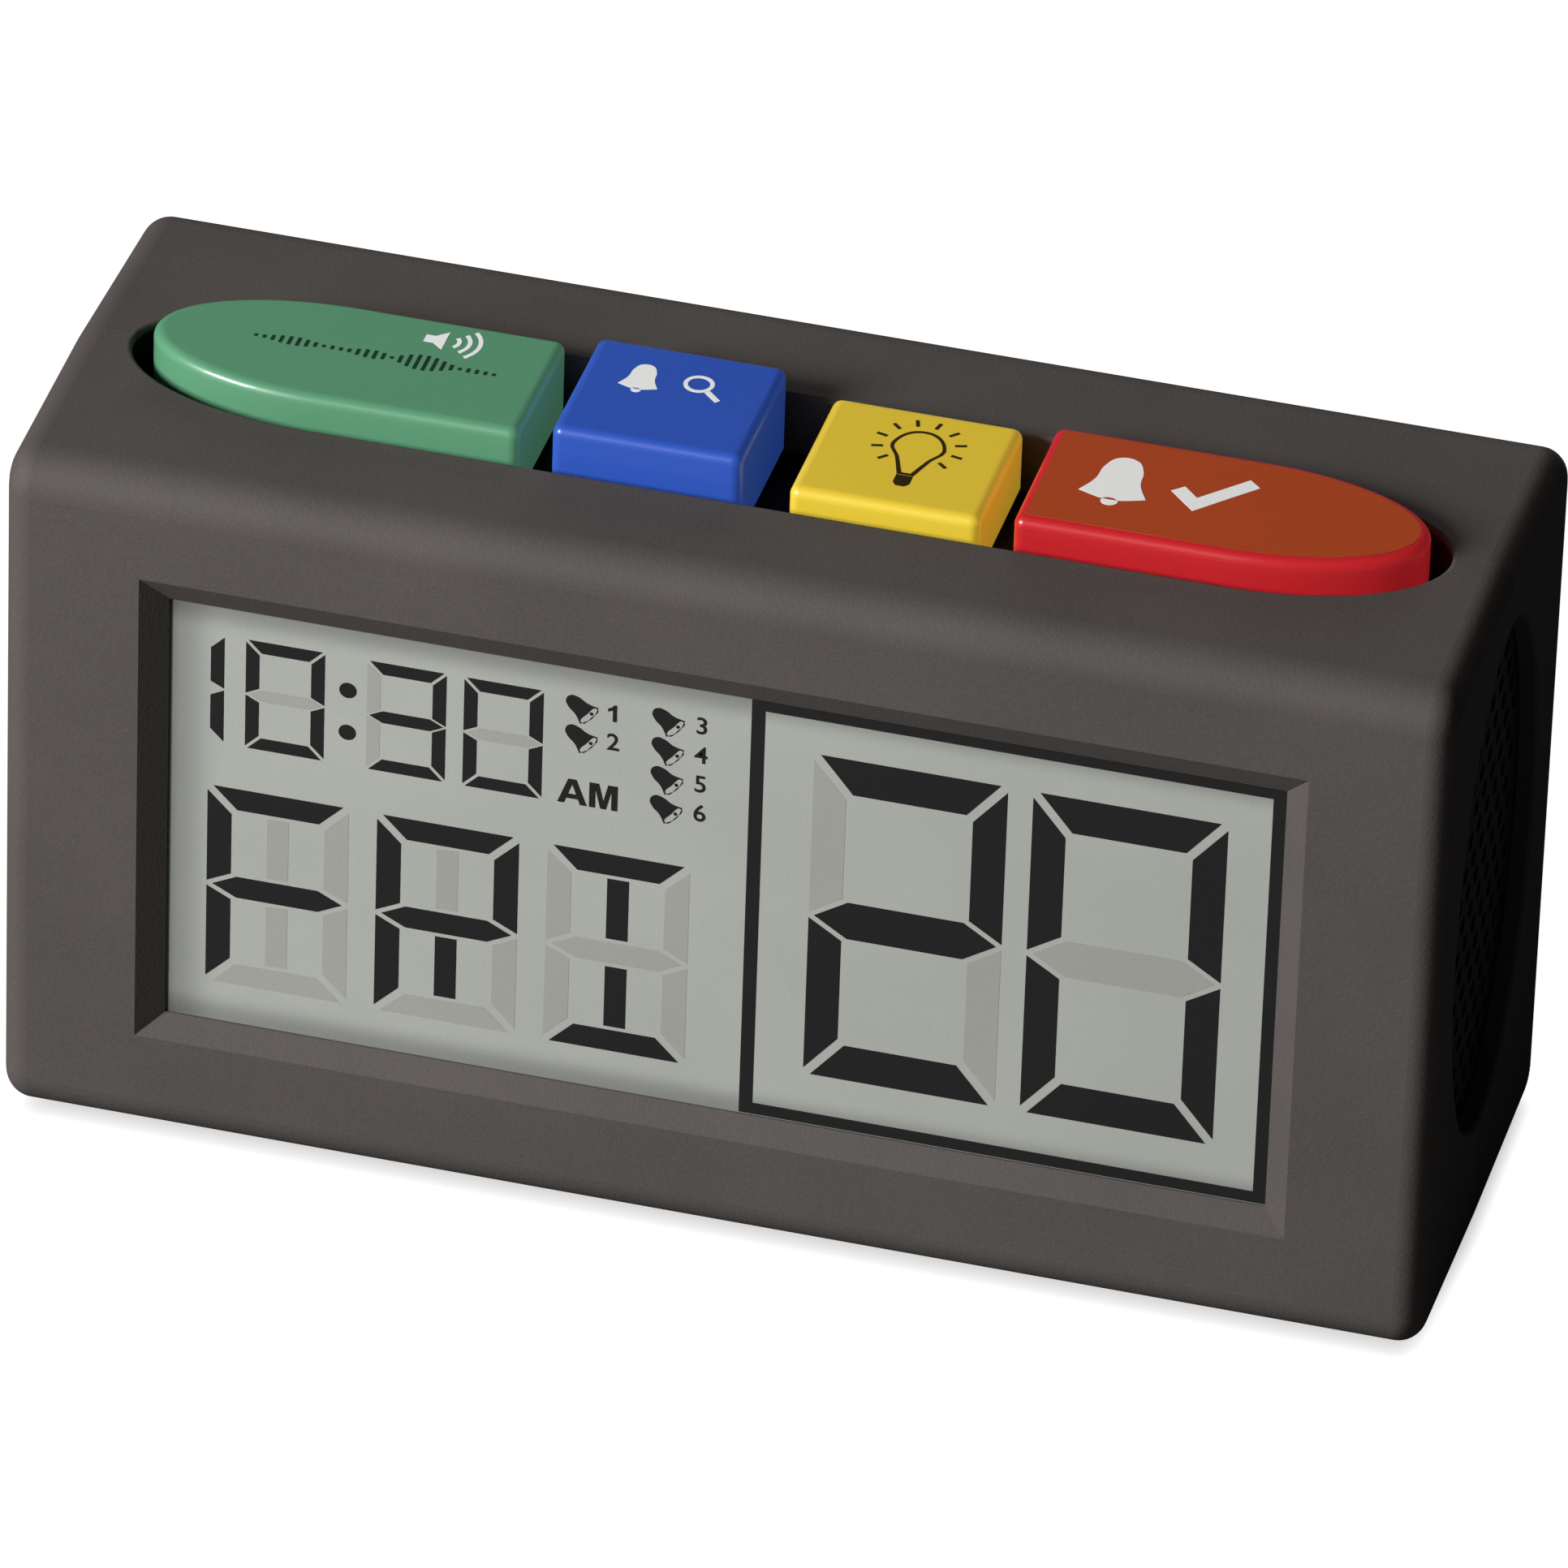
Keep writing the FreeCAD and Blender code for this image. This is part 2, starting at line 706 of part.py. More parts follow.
slot = stadium("slot", "0", ("tray_z1", "ridge_z + overrun"))
collar = stadium("collar", "collar_wall", ("tray_z1 + seat_gap", "ridge_z - case_wall / 2"))
end_openings = [
    oval(f"{name}_end_opening", "X", ("parting_y", "oval_z"), ("oval_half_z", "oval_half_y"), span)
    for name, span in (("left", ("-(half_x + overrun)", "-(inner_x - overrun)")),
                       ("right", ("inner_x - overrun", "half_x + overrun")))]


def housing(side, extras, cutters):
    """A case half: its shell, collar, bosses and ribs, less its openings."""
    outside = case_half(f"{side}_outside", side, "0")
    hollow = case_half(f"{side}_hollow", side, "case_wall")
    if side == "front":
        reach = ("front_y - overrun", "front_seam_y")
    else:
        reach = ("rear_seam_y", "rear_y + overrun")
    space = block(f"{side}_space", about("0", "half_x + overrun"), reach,
                  ("base_z - overrun", "ridge_z + overrun"))
    half_collar = overlap(f"{side}_collar", collar, space)
    bosses, holes = case_bosses(side)
    shell = minus(f"{side}_shell", outside, hollow)
    ribs = grille_ribs(side)
    solid = union(f"{side}_solid", shell, half_collar, *bosses, *ribs, *extras)
    openings = [slot, *end_openings, *holes, *foot_pockets(side), *cutters]
    return minus(f"{side}_cut", solid, *openings)


def on_rims(edge):
    """Choose the rims of the key slot and of the end openings."""
    box = edge.BoundBox
    margin = size("seat_gap")
    outline_box = slot.Shape.BoundBox
    fall = max(size("top_fall_front"), size("top_fall_rear"))
    if box.ZMin > outline_box.ZMax - size("overrun") - fall:
        return (box.XMin > outline_box.XMin - margin and box.XMax < outline_box.XMax + margin
                and box.YMin > outline_box.YMin - margin and box.YMax < outline_box.YMax + margin)
    outline_box = end_openings[0].Shape.BoundBox
    on_end = box.XLength < TOLERANCE and abs(abs(box.XMax) - size("case_width") / 2) < TOLERANCE
    return (on_end and box.ZMin > outline_box.ZMin - margin and box.ZMax < outline_box.ZMax + margin
            and box.YMin > outline_box.YMin - margin and box.YMax < outline_box.YMax + margin)


# Front housing

def front_housing():
    rim = block("window_rim", about("0", "window_x + bevel_side + rim_margin"),
                ("inner_front_y - case_wall / 2", "lcd_y - seat_gap"),
                ("window_z0 - bevel_bottom - rim_margin", "window_z1 + bevel_top + rim_margin"))
    posts = []
    pilots = []
    for number, (x, z) in enumerate(board_corners()):
        posts.append(rod(f"board_post_{number}", "Y", (x, z),
                         ("inner_front_y - case_wall / 2", "board_y - seat_gap"), "board_post_radius"))
        pilots.append(rod(f"board_pilot_{number}", "Y", (x, z),
                          ("board_back_y - small_screw_length - seat_gap", "board_y"),
                          "small_screw_radius + screw_clear"))
    window = block("window", about("0", "window_x"), ("front_y - overrun", "lcd_y + overrun"),
                   ("window_z0", "window_z1"))
    bevel = doc.addObject("Part::Wedge", "bevel")
    bind(bevel, Xmin="-(window_x + bevel_side)", Xmax="window_x + bevel_side",
         Zmin="window_z0 - bevel_bottom", Zmax="window_z1 + bevel_top",
         X2min="-window_x", X2max="window_x", Z2min="window_z0", Z2max="window_z1",
         Ymin="front_y", Ymax="bevel_y")
    cut = housing("front", [rim, *posts], [window, bevel, *pilots])
    node(rounded("front_housing", cut, on_rims, "rim_radius"))


def board_corners():
    """The four post places of the main board, as X and Z."""
    return [(x, z) for x in ("-board_post_x", "board_post_x")
            for z in ("screen_z - board_post_z", "screen_z + board_post_z")]


# Rear housing

def rear_housing():
    bay_x = about("bay_x", "bay_half_x + bay_wall")
    bay_z = about("bay_z", "bay_half_z + bay_wall")
    bay = block("bay_walls", bay_x, ("bay_y - bay_wall", "inner_rear_y + case_wall / 2"), bay_z)
    rim = block("bay_rim", about("bay_x", "door_half_x + bay_wall"),
                ("door_y - bay_rim_depth", "inner_rear_y + case_wall / 2"),
                about("bay_z", "door_half_z + notch_height + bay_wall"))
    inside = block("bay_inside", about("bay_x", "bay_half_x"), ("bay_y", "rear_y + overrun"),
                   about("bay_z", "bay_half_z"))
    recess = block("door_recess", about("bay_x", "door_half_x + door_gap"),
                   ("door_y - seat_gap", "rear_y + overrun"), about("bay_z", "door_half_z + door_gap"))
    recess = rounded("door_recess_round", recess, along("Y"), "door_radius")
    notch = block("latch_notch", about("bay_x", "notch_width / 2"),
                  ("door_y - seat_gap", "rear_y + overrun"), ("door_z1", "door_z1 + notch_height"))
    sockets = [
        block(f"tab_socket_{number}", about(x, "tab_width / 2 + tab_clear"),
              ("door_y - bay_rim_depth - overrun", "door_y"),
              ("door_z0 - tab_reach - tab_clear", "bay_z - bay_half_z"))
        for number, x in enumerate(tab_places())]
    controls = block("controls_recess", about("controls_x", "recess_width / 2"),
                     ("panel_y1", "rear_y + overrun"), about("controls_z", "recess_height / 2"))
    controls = rounded("controls_recess_round", controls, along("Y"), "recess_radius")
    cut = housing("rear", [bay, rim], [inside, recess, notch, *sockets, controls])
    node(rounded("rear_housing", cut, on_rims, "rim_radius"))


def tab_places():
    return ["bay_x - tab_spread", "bay_x + tab_spread"]


# Display stack

def display():
    panel = doc.addObject("PartDesign::Body", "lcd_panel")
    wide = about("0", "lcd_half_x")
    pad(panel, "front_glass", "XZ", rectangle(wide, about("screen_z", "lcd_half_z")),
        "lcd_y", "lcd_y + glass_thickness")
    pad(panel, "rear_glass", "XZ",
        rectangle(wide, about("screen_z", "lcd_half_z - glass_ledge")),
        "lcd_y + glass_thickness", "lcd_back_y")
    node(panel)

    frame = doc.addObject("PartDesign::Body", "lcd_frame")
    outer_x = about("0", "lcd_half_x + lcd_clear + frame_wall")
    outer_z = about("screen_z", "lcd_half_z + lcd_clear + frame_wall")
    inner_z = about("screen_z", "lcd_half_z + lcd_clear")
    pad(frame, "frame_block", "XZ", rectangle(outer_x, outer_z), "lcd_y", "board_y - seat_gap")
    pocket(frame, "glass_seat", "XZ", rectangle(about("0", "lcd_half_x + lcd_clear"), inner_z),
           "lcd_y - overrun", "lcd_back_y + seat_gap")
    pocket(frame, "light_well", "XZ", rectangle(about("0", "lcd_half_x - frame_ledge"), inner_z),
           "lcd_y", "board_y + overrun")
    node(frame)

    light = doc.addObject("PartDesign::Body", "backlight_panel")
    light_z = about("screen_z", "lcd_half_z - glass_ledge - backlight_strip_gap")
    pad(light, "light_guide", "XZ",
        rectangle(about("0", "lcd_half_x - backlight_side_gap"), light_z),
        "lcd_back_y + seat_gap", "lcd_back_y + seat_gap + backlight_thickness")
    node(light)

    strips = []
    for name, sign in (("lower", "-1"), ("upper", "1")):
        middle = f"screen_z + {sign} * (lcd_half_z - glass_ledge / 2)"
        strips.append(block(f"strip_{name}", about("0", "window_x - strip_end_gap"),
                            ("lcd_y + glass_thickness + seat_gap", "board_y - seat_gap"),
                            about(middle, "strip_thickness / 2")))
    node(group("contact_strips", strips))


def main_board():
    board = block("board_blank", about("0", "board_half_x"), ("board_y", "board_back_y"),
                  about("screen_z", "board_half_z"))
    holes = [
        rod(f"board_hole_{number}", "Y", (x, z), ("board_y - overrun", "board_back_y + overrun"),
            "small_screw_radius + screw_clear")
        for number, (x, z) in enumerate(board_corners())]
    node(minus("main_board", board, *holes))
    screws = [
        stand(small_screw(f"board_screw_{number}"), x, "board_back_y + seat_gap", z, "Y")
        for number, (x, z) in enumerate(board_corners())]
    node(group("board_screws", screws))

    def chip(label, middle_x, width, height, thickness):
        body = doc.addObject("PartDesign::Body", label)
        pad(body, f"{label}_case", "XZ",
            rectangle(about(middle_x, f"{width} / 2"), about("screen_z", f"{height} / 2")),
            "board_back_y + seat_gap", f"board_back_y + seat_gap + {thickness}")
        return node(body)

    chip("voice_chip", "voice_chip_shift", "voice_chip_width", "voice_chip_height",
         "voice_chip_thickness")
    chip("clock_chip", "-clock_chip_shift", "clock_chip_width", "clock_chip_width",
         "clock_chip_thickness")
    node(rod("quartz_crystal", "Z", ("-crystal_shift", "board_back_y + seat_gap + crystal_radius"),
             about("screen_z", "crystal_length / 2"), "crystal_radius"))


# Top keys

def key_solid(label, side, x, inset, z):
    """A key's form less an inset: a block, with an elliptical outer end on an end key."""
    depth = about("slot_y", f"key_depth / 2 - {inset}")
    if side == 0:
        return block(label, (f"{x[0]} + {inset}", f"{x[1]} - {inset}"), depth, z)
    if side < 0:
        span = ("-key_bow_x", f"{x[1]} - {inset}")
    else:
        span = (f"{x[0]} + {inset}", "key_bow_x")
    middle = block(f"{label}_middle", span, depth, z)
    end = oval(f"{label}_end", "Z", (f"{side} * key_bow_x", "slot_y"),
               (f"key_bow - {inset}", f"key_depth / 2 - {inset}"), z)
    return union(label, middle, end)


def top_keys():
    """Each key's name, which end it closes, its X span and the rise of its top."""
    inner = "key_mid_gap / 2"
    outer = "key_mid_gap / 2 + key_width"
    return [
        ("talk_key", -1, ("-key_tip_x", "-end_key_x"), "talk_rise"),
        ("alarm_check_key", 0, (f"-({outer})", f"-({inner})"), "check_rise"),
        ("light_key", 0, (inner, outer), "light_rise"),
        ("acknowledge_key", 1, ("end_key_x", "key_tip_x"), "acknowledge_rise")]


def cap_edges(side, box):
    """Choose a key's top edges and its square upright corners."""
    def pick(edge):
        if all(abs(vertex.Z - box.ZMax) < TOLERANCE for vertex in edge.Vertexes):
            return True
        if not along("Z")(edge):
            return False
        x = edge.Vertexes[0].X
        at_left = side >= 0 and abs(x - box.XMin) < TOLERANCE
        at_right = side <= 0 and abs(x - box.XMax) < TOLERANCE
        return at_left or at_right
    return pick


def key_legs(label, x, roof):
    """Two barbed legs of a key, and the holes that they need in the tray."""
    legs = []
    holes = []
    width = about("slot_y", "leg_width / 2")
    for name, way, tip in (("left", "1", x[0]), ("right", "-1", x[1])):
        outer = f"{tip} + ({way}) * leg_inset"
        inner = f"{outer} + ({way}) * leg_thickness"
        hook = f"{outer} - ({way}) * barb_reach"
        leg = (outer, inner) if way == "1" else (inner, outer)
        barb = (hook, outer) if way == "1" else (outer, hook)
        legs.append(block(f"{label}_leg_{name}", leg, width, ("barb_z0", roof)))
        legs.append(block(f"{label}_barb_{name}", barb, width, ("barb_z0", "barb_z1")))
        hole = (f"{leg[0]} - guide_clear", f"{leg[1]} + guide_clear")
        holes.append(block(f"{label}_leg_hole_{name}", hole, about("slot_y", "leg_width / 2 + guide_clear"),
                           ("tray_z0 - overrun", "tray_z1 + overrun")))
    return legs, holes


def keys():
    """The four keys with their springs, and the holes that they need in the tray."""
    holes = []
    for label, side, x, rise in top_keys():
        top = f"ridge_z + {rise}"
        roof = f"{top} - key_roof"
        middle = f"({x[0]} + {x[1]}) / 2"
        blank = key_solid(f"{label}_blank", side, x, "0", ("key_floor_z", top))
        doc.recompute()
        outside = rounded(f"{label}_outside", blank, cap_edges(side, blank.Shape.BoundBox),
                          "key_edge_radius")
        hollow = key_solid(f"{label}_hollow", side, x, "key_wall", ("key_floor_z - overrun", roof))
        shell = minus(f"{label}_shell", outside, hollow)
        stem = rod(f"{label}_stem", "Z", (middle, "slot_y"), ("stem_z", roof), "stem_radius")
        legs, leg_holes = key_legs(label, x, roof)
        node(union(label, shell, stem, *legs))
        holes += leg_holes
        holes.append(rod(f"{label}_stem_hole", "Z", (middle, "slot_y"),
                         ("tray_z0 - overrun", "tray_z1 + overrun"), "stem_radius + guide_clear"))
        length = (size(rise) + size("key_sink") + size("key_travel") + size("key_floor_gap")
                  - size("key_roof") - 2 * size("seat_gap"))
        spring = coil(label.replace("key", "spring"), size("spring_radius"), size("spring_wire"),
                      length, int(size("spring_turn_count")))
        node(stand(spring, middle, "slot_y", "tray_z1 + seat_gap + spring_wire / 2"))
    return holes


def tray(key_holes):
    """The tray under the keys, with posts down to the key board."""
    plate = stadium("tray_plate", "collar_wall", ("tray_z0", "tray_z1"))
    posts = []
    pilots = []
    for number, (x, y) in enumerate(tray_posts()):
        posts.append(rod(f"tray_post_{number}", "Z", (x, y),
                         ("key_board_z1 + seat_gap", "tray_z1 - tray_thickness / 2"),
                         "tray_post_radius"))
        pilots.append(rod(f"tray_pilot_{number}", "Z", (x, y),
                          ("key_board_z1", "key_board_z0 + small_screw_length + seat_gap"),
                          "small_screw_radius + screw_clear"))
    solid = union("tray_solid", plate, *posts)
    node(minus("key_tray", solid, *key_holes, *pilots))


def tray_posts():
    return [(x, y) for x in ("-post_x", "post_x")
            for y in ("slot_y - tray_post_spread", "slot_y + tray_post_spread")]


def key_board():
    """The board under the tray with a switch below each key's stem."""
    board = block("key_board_blank", about("0", "key_board_x"),
                  about("slot_y", "key_board_depth / 2"), ("key_board_z0", "key_board_z1"))
    holes = [
        rod(f"key_board_hole_{number}", "Z", place, ("key_board_z0 - overrun", "key_board_z1 + overrun"),
            "small_screw_radius + screw_clear")
        for number, place in enumerate(tray_posts())]
    node(minus("key_board", board, *holes))
    screws = [
        stand(small_screw(f"key_board_screw_{number}"), x, y, "key_board_z0 - seat_gap", "-Z")
        for number, (x, y) in enumerate(tray_posts())]
    node(group("key_board_screws", screws))
    switches = []
    for label, side, x, rise in top_keys():
        middle = f"({x[0]} + {x[1]}) / 2"
        case = block(f"{label}_switch_case", about(middle, "switch_width / 2"),
                     about("slot_y", "switch_width / 2"),
                     ("key_board_z1 + seat_gap", "key_board_z1 + switch_height"))
        plunger = rod(f"{label}_plunger", "Z", (middle, "slot_y"),
                      ("key_board_z1 + switch_height", "switch_z"), "plunger_radius")
        switches.append(union(f"{label}_switch", case, plunger))
    node(group("tact_switches", switches))


# End grilles and speaker

def grille_holes():
    """Staggered holes through both grilles, kept clear of the opening's edge."""
    pitch = size("hole_pitch")
    row_share = math.sqrt(3) / 2
    opening = end_openings[0].Shape.BoundBox
    reach_y = opening.YLength / 2 - size("hole_margin")
    reach_z = opening.ZLength / 2 - size("hole_margin")
    row_count = int(reach_z / (pitch * row_share))
    column_count = int(reach_y / pitch) + 1
    holes = []
    for row in range(-row_count, row_count + 1):
        for column in range(-column_count, column_count + 1):
            step = column + (row % 2) / 2
            if math.hypot(step * pitch / reach_y, row * row_share * pitch / reach_z) > 1:
                continue
            place = (f"parting_y + {step} * hole_pitch", f"oval_z + {row * row_share} * hole_pitch")
            holes.append(rod("grille_hole", "X", place, about("0", "half_x"), "hole_radius"))
    return group("grille_holes", holes)


def grilles():
    holes = grille_holes()
    radii = ("grille_half_z", "grille_half_y")
    left = oval("left_plate", "X", ("parting_y", "oval_z"), radii, ("-grille_x1", "-grille_x0"))
    node(minus("left_grille", left, holes))
    right = oval("right_plate", "X", ("parting_y", "oval_z"), radii, ("grille_x0", "grille_x1"))
    pierced = minus("right_pierced", right, holes)
    ring = rod("seat_ring_outside", "X", ("parting_y", "oval_z"),
               ("grille_x0 - seat_ring_height", "grille_x0"), "speaker_radius")
    bore = rod("seat_ring_bore", "X", ("parting_y", "oval_z"),
               ("grille_x0 - seat_ring_height - overrun", "grille_x0"),
               "speaker_radius - seat_ring_wall")
    node(union("speaker_grille", pierced, minus("seat_ring", ring, bore)))


def speaker():
    """The round speaker behind the right-hand grille, facing outwards."""
    inner = "speaker_radius - flange_width"
    gasket = turned("speaker_gasket", [
        (inner, "-gasket_thickness"), ("speaker_radius", "-gasket_thickness"),
        ("speaker_radius", "0"), (inner, "0")])
    node(stand(gasket, "gasket_x1", "parting_y", "oval_z", "X"))
    floor = "-(basket_depth - basket_wall)"
    neck = "cone_neck_radius + cone_edge_gap"
    frame = turned("speaker_frame", [
        (inner, "0"), ("speaker_radius", "0"), ("speaker_radius", "-flange_thickness"),
        (f"{inner} + basket_wall", "-flange_thickness"), ("basket_back_radius", floor),
        ("basket_back_radius", "-basket_depth"), (neck, "-basket_depth"), (neck, floor),
        ("basket_back_radius - basket_wall", floor), (inner, "-flange_thickness")])
    node(stand(frame, "flange_x1", "parting_y", "oval_z", "X"))
    edge = f"{inner} - cone_edge_gap"
    cone = turned("speaker_cone", [
        ("0", "-(cone_depth + cone_thickness)"), ("cone_neck_radius", "-(cone_depth + cone_thickness)"),
        (edge, "-cone_thickness"), (edge, "0"), ("cone_neck_radius", "-cone_depth"),
        ("0", "-cone_depth")])
    node(stand(cone, "flange_x1", "parting_y", "oval_z", "X"))
    node(rod("speaker_magnet", "X", ("parting_y", "oval_z"),
             ("magnet_x1 - magnet_height", "magnet_x1"), "magnet_radius"))


# Rear controls

SET_KEYS = [["set_time_key", "minus_key", "plus_key"], ["set_alarm_key", "alarm_on_key", "hour_format_key"]]


def set_key_places():
    """Each setting key's name and middle."""
    for row, names in enumerate(SET_KEYS):
        for column, name in enumerate(names):
            x = f"controls_x + {1 - column} * set_key_pitch_x"
            z = f"set_key_z0 + {row} * set_key_pitch_z"
            yield name, x, z


def panel_corners():
    return [(x, z)
            for x in about("controls_x", "panel_half_x - panel_post_inset")
            for z in about("controls_z", "panel_half_z - panel_post_inset")]


def at_rear(edge):
    """Choose the edges of a key cap's outer face."""
    cap_y = (size("front_depth") + size("rear_depth")) / 2 - size("set_key_sink")
    return all(abs(vertex.Y - cap_y) < TOLERANCE for vertex in edge.Vertexes)


def control_panel():
    plate = block("panel_plate", about("controls_x", "panel_half_x"), ("panel_y0", "panel_y1"),
                  about("controls_z", "panel_half_z"))
    posts = []
    cutters = []
    for number, (x, z) in enumerate(panel_corners()):
        posts.append(rod(f"panel_post_{number}", "Y", (x, z),
                         ("rear_board_y1 + seat_gap", "panel_y1 - panel_thickness / 2"),
                         "panel_post_radius"))
        cutters.append(rod(f"panel_pilot_{number}", "Y", (x, z),
                           ("rear_board_y1", "rear_board_y0 + small_screw_length + seat_gap"),
                           "small_screw_radius + screw_clear"))
    through = ("panel_y0 - overrun", "panel_y1 + overrun")
    for name, x, z in set_key_places():
        hole = block(f"{name}_hole", about(x, "set_key_width / 2 + set_key_clear"), through,
                     about(z, "set_key_height / 2 + set_key_clear"))
        cutters.append(rounded(f"{name}_hole_round", hole, along("Y"), "set_key_radius"))
    slide_half = "(slider_width + slider_travel) / 2 + set_key_clear"
    cutters.append(block("slider_slot", about("controls_x", slide_half), through,
                         about("slider_z", "slider_height / 2 + set_key_clear")))
    node(minus("control_panel", union("panel_solid", plate, *posts), *cutters))


def set_keys():
    domes = []
    for name, x, z in set_key_places():
        cap = block(f"{name}_cap", about(x, "set_key_width / 2"), ("lip_y1", "rear_y - set_key_sink"),
                    about(z, "set_key_height / 2"))
        cap = rounded(f"{name}_corners", cap, along("Y"), "set_key_radius")
        cap = rounded(f"{name}_face", cap, at_rear, "set_key_edge")
        lip = block(f"{name}_lip", about(x, "set_key_width / 2 + set_key_lip"), ("lip_y0", "lip_y1"),
                    about(z, "set_key_height / 2 + set_key_lip"))
        stem = rod(f"{name}_stem", "Y", (x, z), ("set_key_y0", "lip_y0"), "set_key_stem_radius")
        node(union(name, cap, lip, stem))
        domes.append(rod(f"{name}_dome", "Y", (x, z),
                         ("rear_board_y1 + seat_gap + mat_thickness / 2", "dome_y1"), "dome_radius"))
    mat = block("mat_base", about("controls_x", "set_key_pitch_x + dome_radius + mat_margin"),
                ("rear_board_y1 + seat_gap", "rear_board_y1 + seat_gap + mat_thickness"),
                ("set_key_z0 - dome_radius - mat_margin",
                 "set_key_z0 + set_key_pitch_z + dome_radius + mat_margin"))
    node(union("key_mat", mat, *domes))


def rear_key_board():
    board = block("rear_board_blank", about("controls_x", "panel_half_x"),
                  ("rear_board_y0", "rear_board_y1"), about("controls_z", "panel_half_z"))
    holes = [
        rod(f"rear_board_hole_{number}", "Y", place, ("rear_board_y0 - overrun", "rear_board_y1 + overrun"),
            "small_screw_radius + screw_clear")
        for number, place in enumerate(panel_corners())]
    node(minus("rear_key_board", board, *holes))
    screws = [
        stand(small_screw(f"panel_screw_{number}"), x, "rear_board_y0 - seat_gap", z, "-Y")
        for number, (x, z) in enumerate(panel_corners())]
    node(group("panel_screws", screws))


def volume_switch():
    node(block("volume_switch", about("controls_x", "switch_body_width / 2"),
               ("rear_board_y1 + seat_gap", "switch_body_y1"),
               about("slider_z", "switch_body_height / 2")))
    middle = "controls_x - slider_travel / 2"
    foot_y0 = "switch_body_y1 + set_key_lip_gap + seat_gap"
    foot = block("slider_foot", about(middle, "slider_width / 2 + set_key_lip"),
                 (foot_y0, f"{foot_y0} + slider_foot_thickness"),
                 about("slider_z", "slider_foot_height / 2"))
    knob = block("slider_knob", about(middle, "slider_width / 2"), (foot_y0, "rear_y - set_key_sink"),
                 about("slider_z", "slider_height / 2"))
    node(union("volume_slider", foot, rounded("slider_face", knob, at_rear, "set_key_edge")))


# Battery bay

def batteries():
    cells = []
    springs = []
    plates = []
    low = "bay_x - bay_half_x + seat_gap"
    high = "bay_x + bay_half_x - seat_gap"
    shoulder = "cell_length - cell_nub_length"
    profile = [
        ("0", "0"), ("cell_radius", "0"), ("cell_radius", shoulder), ("cell_nub_radius", shoulder),
        ("cell_nub_radius", "cell_length"), ("0", "cell_length")]
    for number in range(3):
        z = f"bay_z + {number - 1} * cell_pitch"
        forward = number % 2 == 0
        facing = "X" if forward else "-X"
        base = f"{low} + spring_room" if forward else f"{high} - spring_room"
        cell = turned(f"cell_{number}", profile)
        cells.append(stand(cell, base, "cell_y", z, facing))
        spring = coil(f"battery_spring_{number}", size("battery_spring_radius"),
                      size("battery_spring_wire"), size("spring_room"),
                      int(size("battery_spring_turn_count")))
        start = f"{low} + battery_spring_wire / 2" if forward else f"{high} - battery_spring_wire / 2"
        springs.append(stand(spring, start, "cell_y", z, facing))
        span = (f"{high} - plate_thickness", high) if forward else (low, f"{low} + plate_thickness")
        plates.append(block(f"contact_plate_{number}", span, about("cell_y", "plate_width / 2"),
                            about(z, "plate_width / 2")))
    node(group("batteries", cells))
    node(group("battery_springs", springs))
    node(group("contact_plates", plates))


def battery_door():
    door = doc.addObject("PartDesign::Body", "battery_door")
    pad(door, "door_plate", "XZ",
        rectangle(about("bay_x", "door_half_x"), about("bay_z", "door_half_z")), "door_y", "rear_y")
    soften(door, "door_corners", along("Y"), "door_radius")
    for number, x in enumerate(tab_places()):
        width = about(x, "tab_width / 2")
        pad(door, f"tab_root_{number}", "XZ", rectangle(width, ("door_z0", "door_z0 + tab_root")),
            "tab_y0", "door_y")
        pad(door, f"tab_{number}", "XZ",
            rectangle(width, ("door_z0 - tab_reach", "door_z0 + tab_root")), "tab_y0", "tab_y1")
    pad(door, "latch", "XZ",
        rectangle(about("bay_x", "latch_width / 2"), ("door_z1 - tab_root", "door_z1 + latch_reach")),
        "door_y", "door_y + latch_thickness")
    for number in range(4):
        middle = f"door_z1 - groove_drop - {number} * groove_pitch"
        pocket(door, f"grip_groove_{number}", "XZ",
               rectangle(about("bay_x", "groove_width / 2"), about(middle, "groove_height / 2")),
               "rear_y - groove_depth", "rear_y + overrun")
    node(door)


# Fasteners, feet and leads

def case_screws():
    screws = []
    arm = "cross_length / 2"
    bar = "cross_width / 2"
    cross = [
        (f"-{arm}", f"-{bar}"), (f"-{bar}", f"-{bar}"), (f"-{bar}", f"-{arm}"), (bar, f"-{arm}"),
        (bar, f"-{bar}"), (arm, f"-{bar}"), (arm, bar), (bar, bar), (bar, arm), (f"-{bar}", arm),
        (f"-{bar}", bar), (f"-{arm}", bar)]
    for name, x in (("left", "-boss_x"), ("right", "boss_x")):
        for level, z in (("low", "boss_base_z"), ("high", "boss_top_z")):
            label = f"case_screw_{name}_{level}"
            body = screw(label, "case_screw_head_radius", "case_screw_head_height",
                         "case_screw_radius", "case_screw_length")
            pocket(body, f"{label}_cross", "XY", cross,
                   "case_screw_head_height - cross_depth", "case_screw_head_height")
            screws.append(stand(body, x, "parting_y + boss_shelf + seat_gap", z, "Y"))
    node(group("case_screws", screws))


def feet():
    node(group("rubber_feet", [
        rod(f"foot_{tag}", "Z", (x, y), ("0", f"{top} - seat_gap"), "foot_radius")
        for side, tag, x, y, top in foot_places()]))


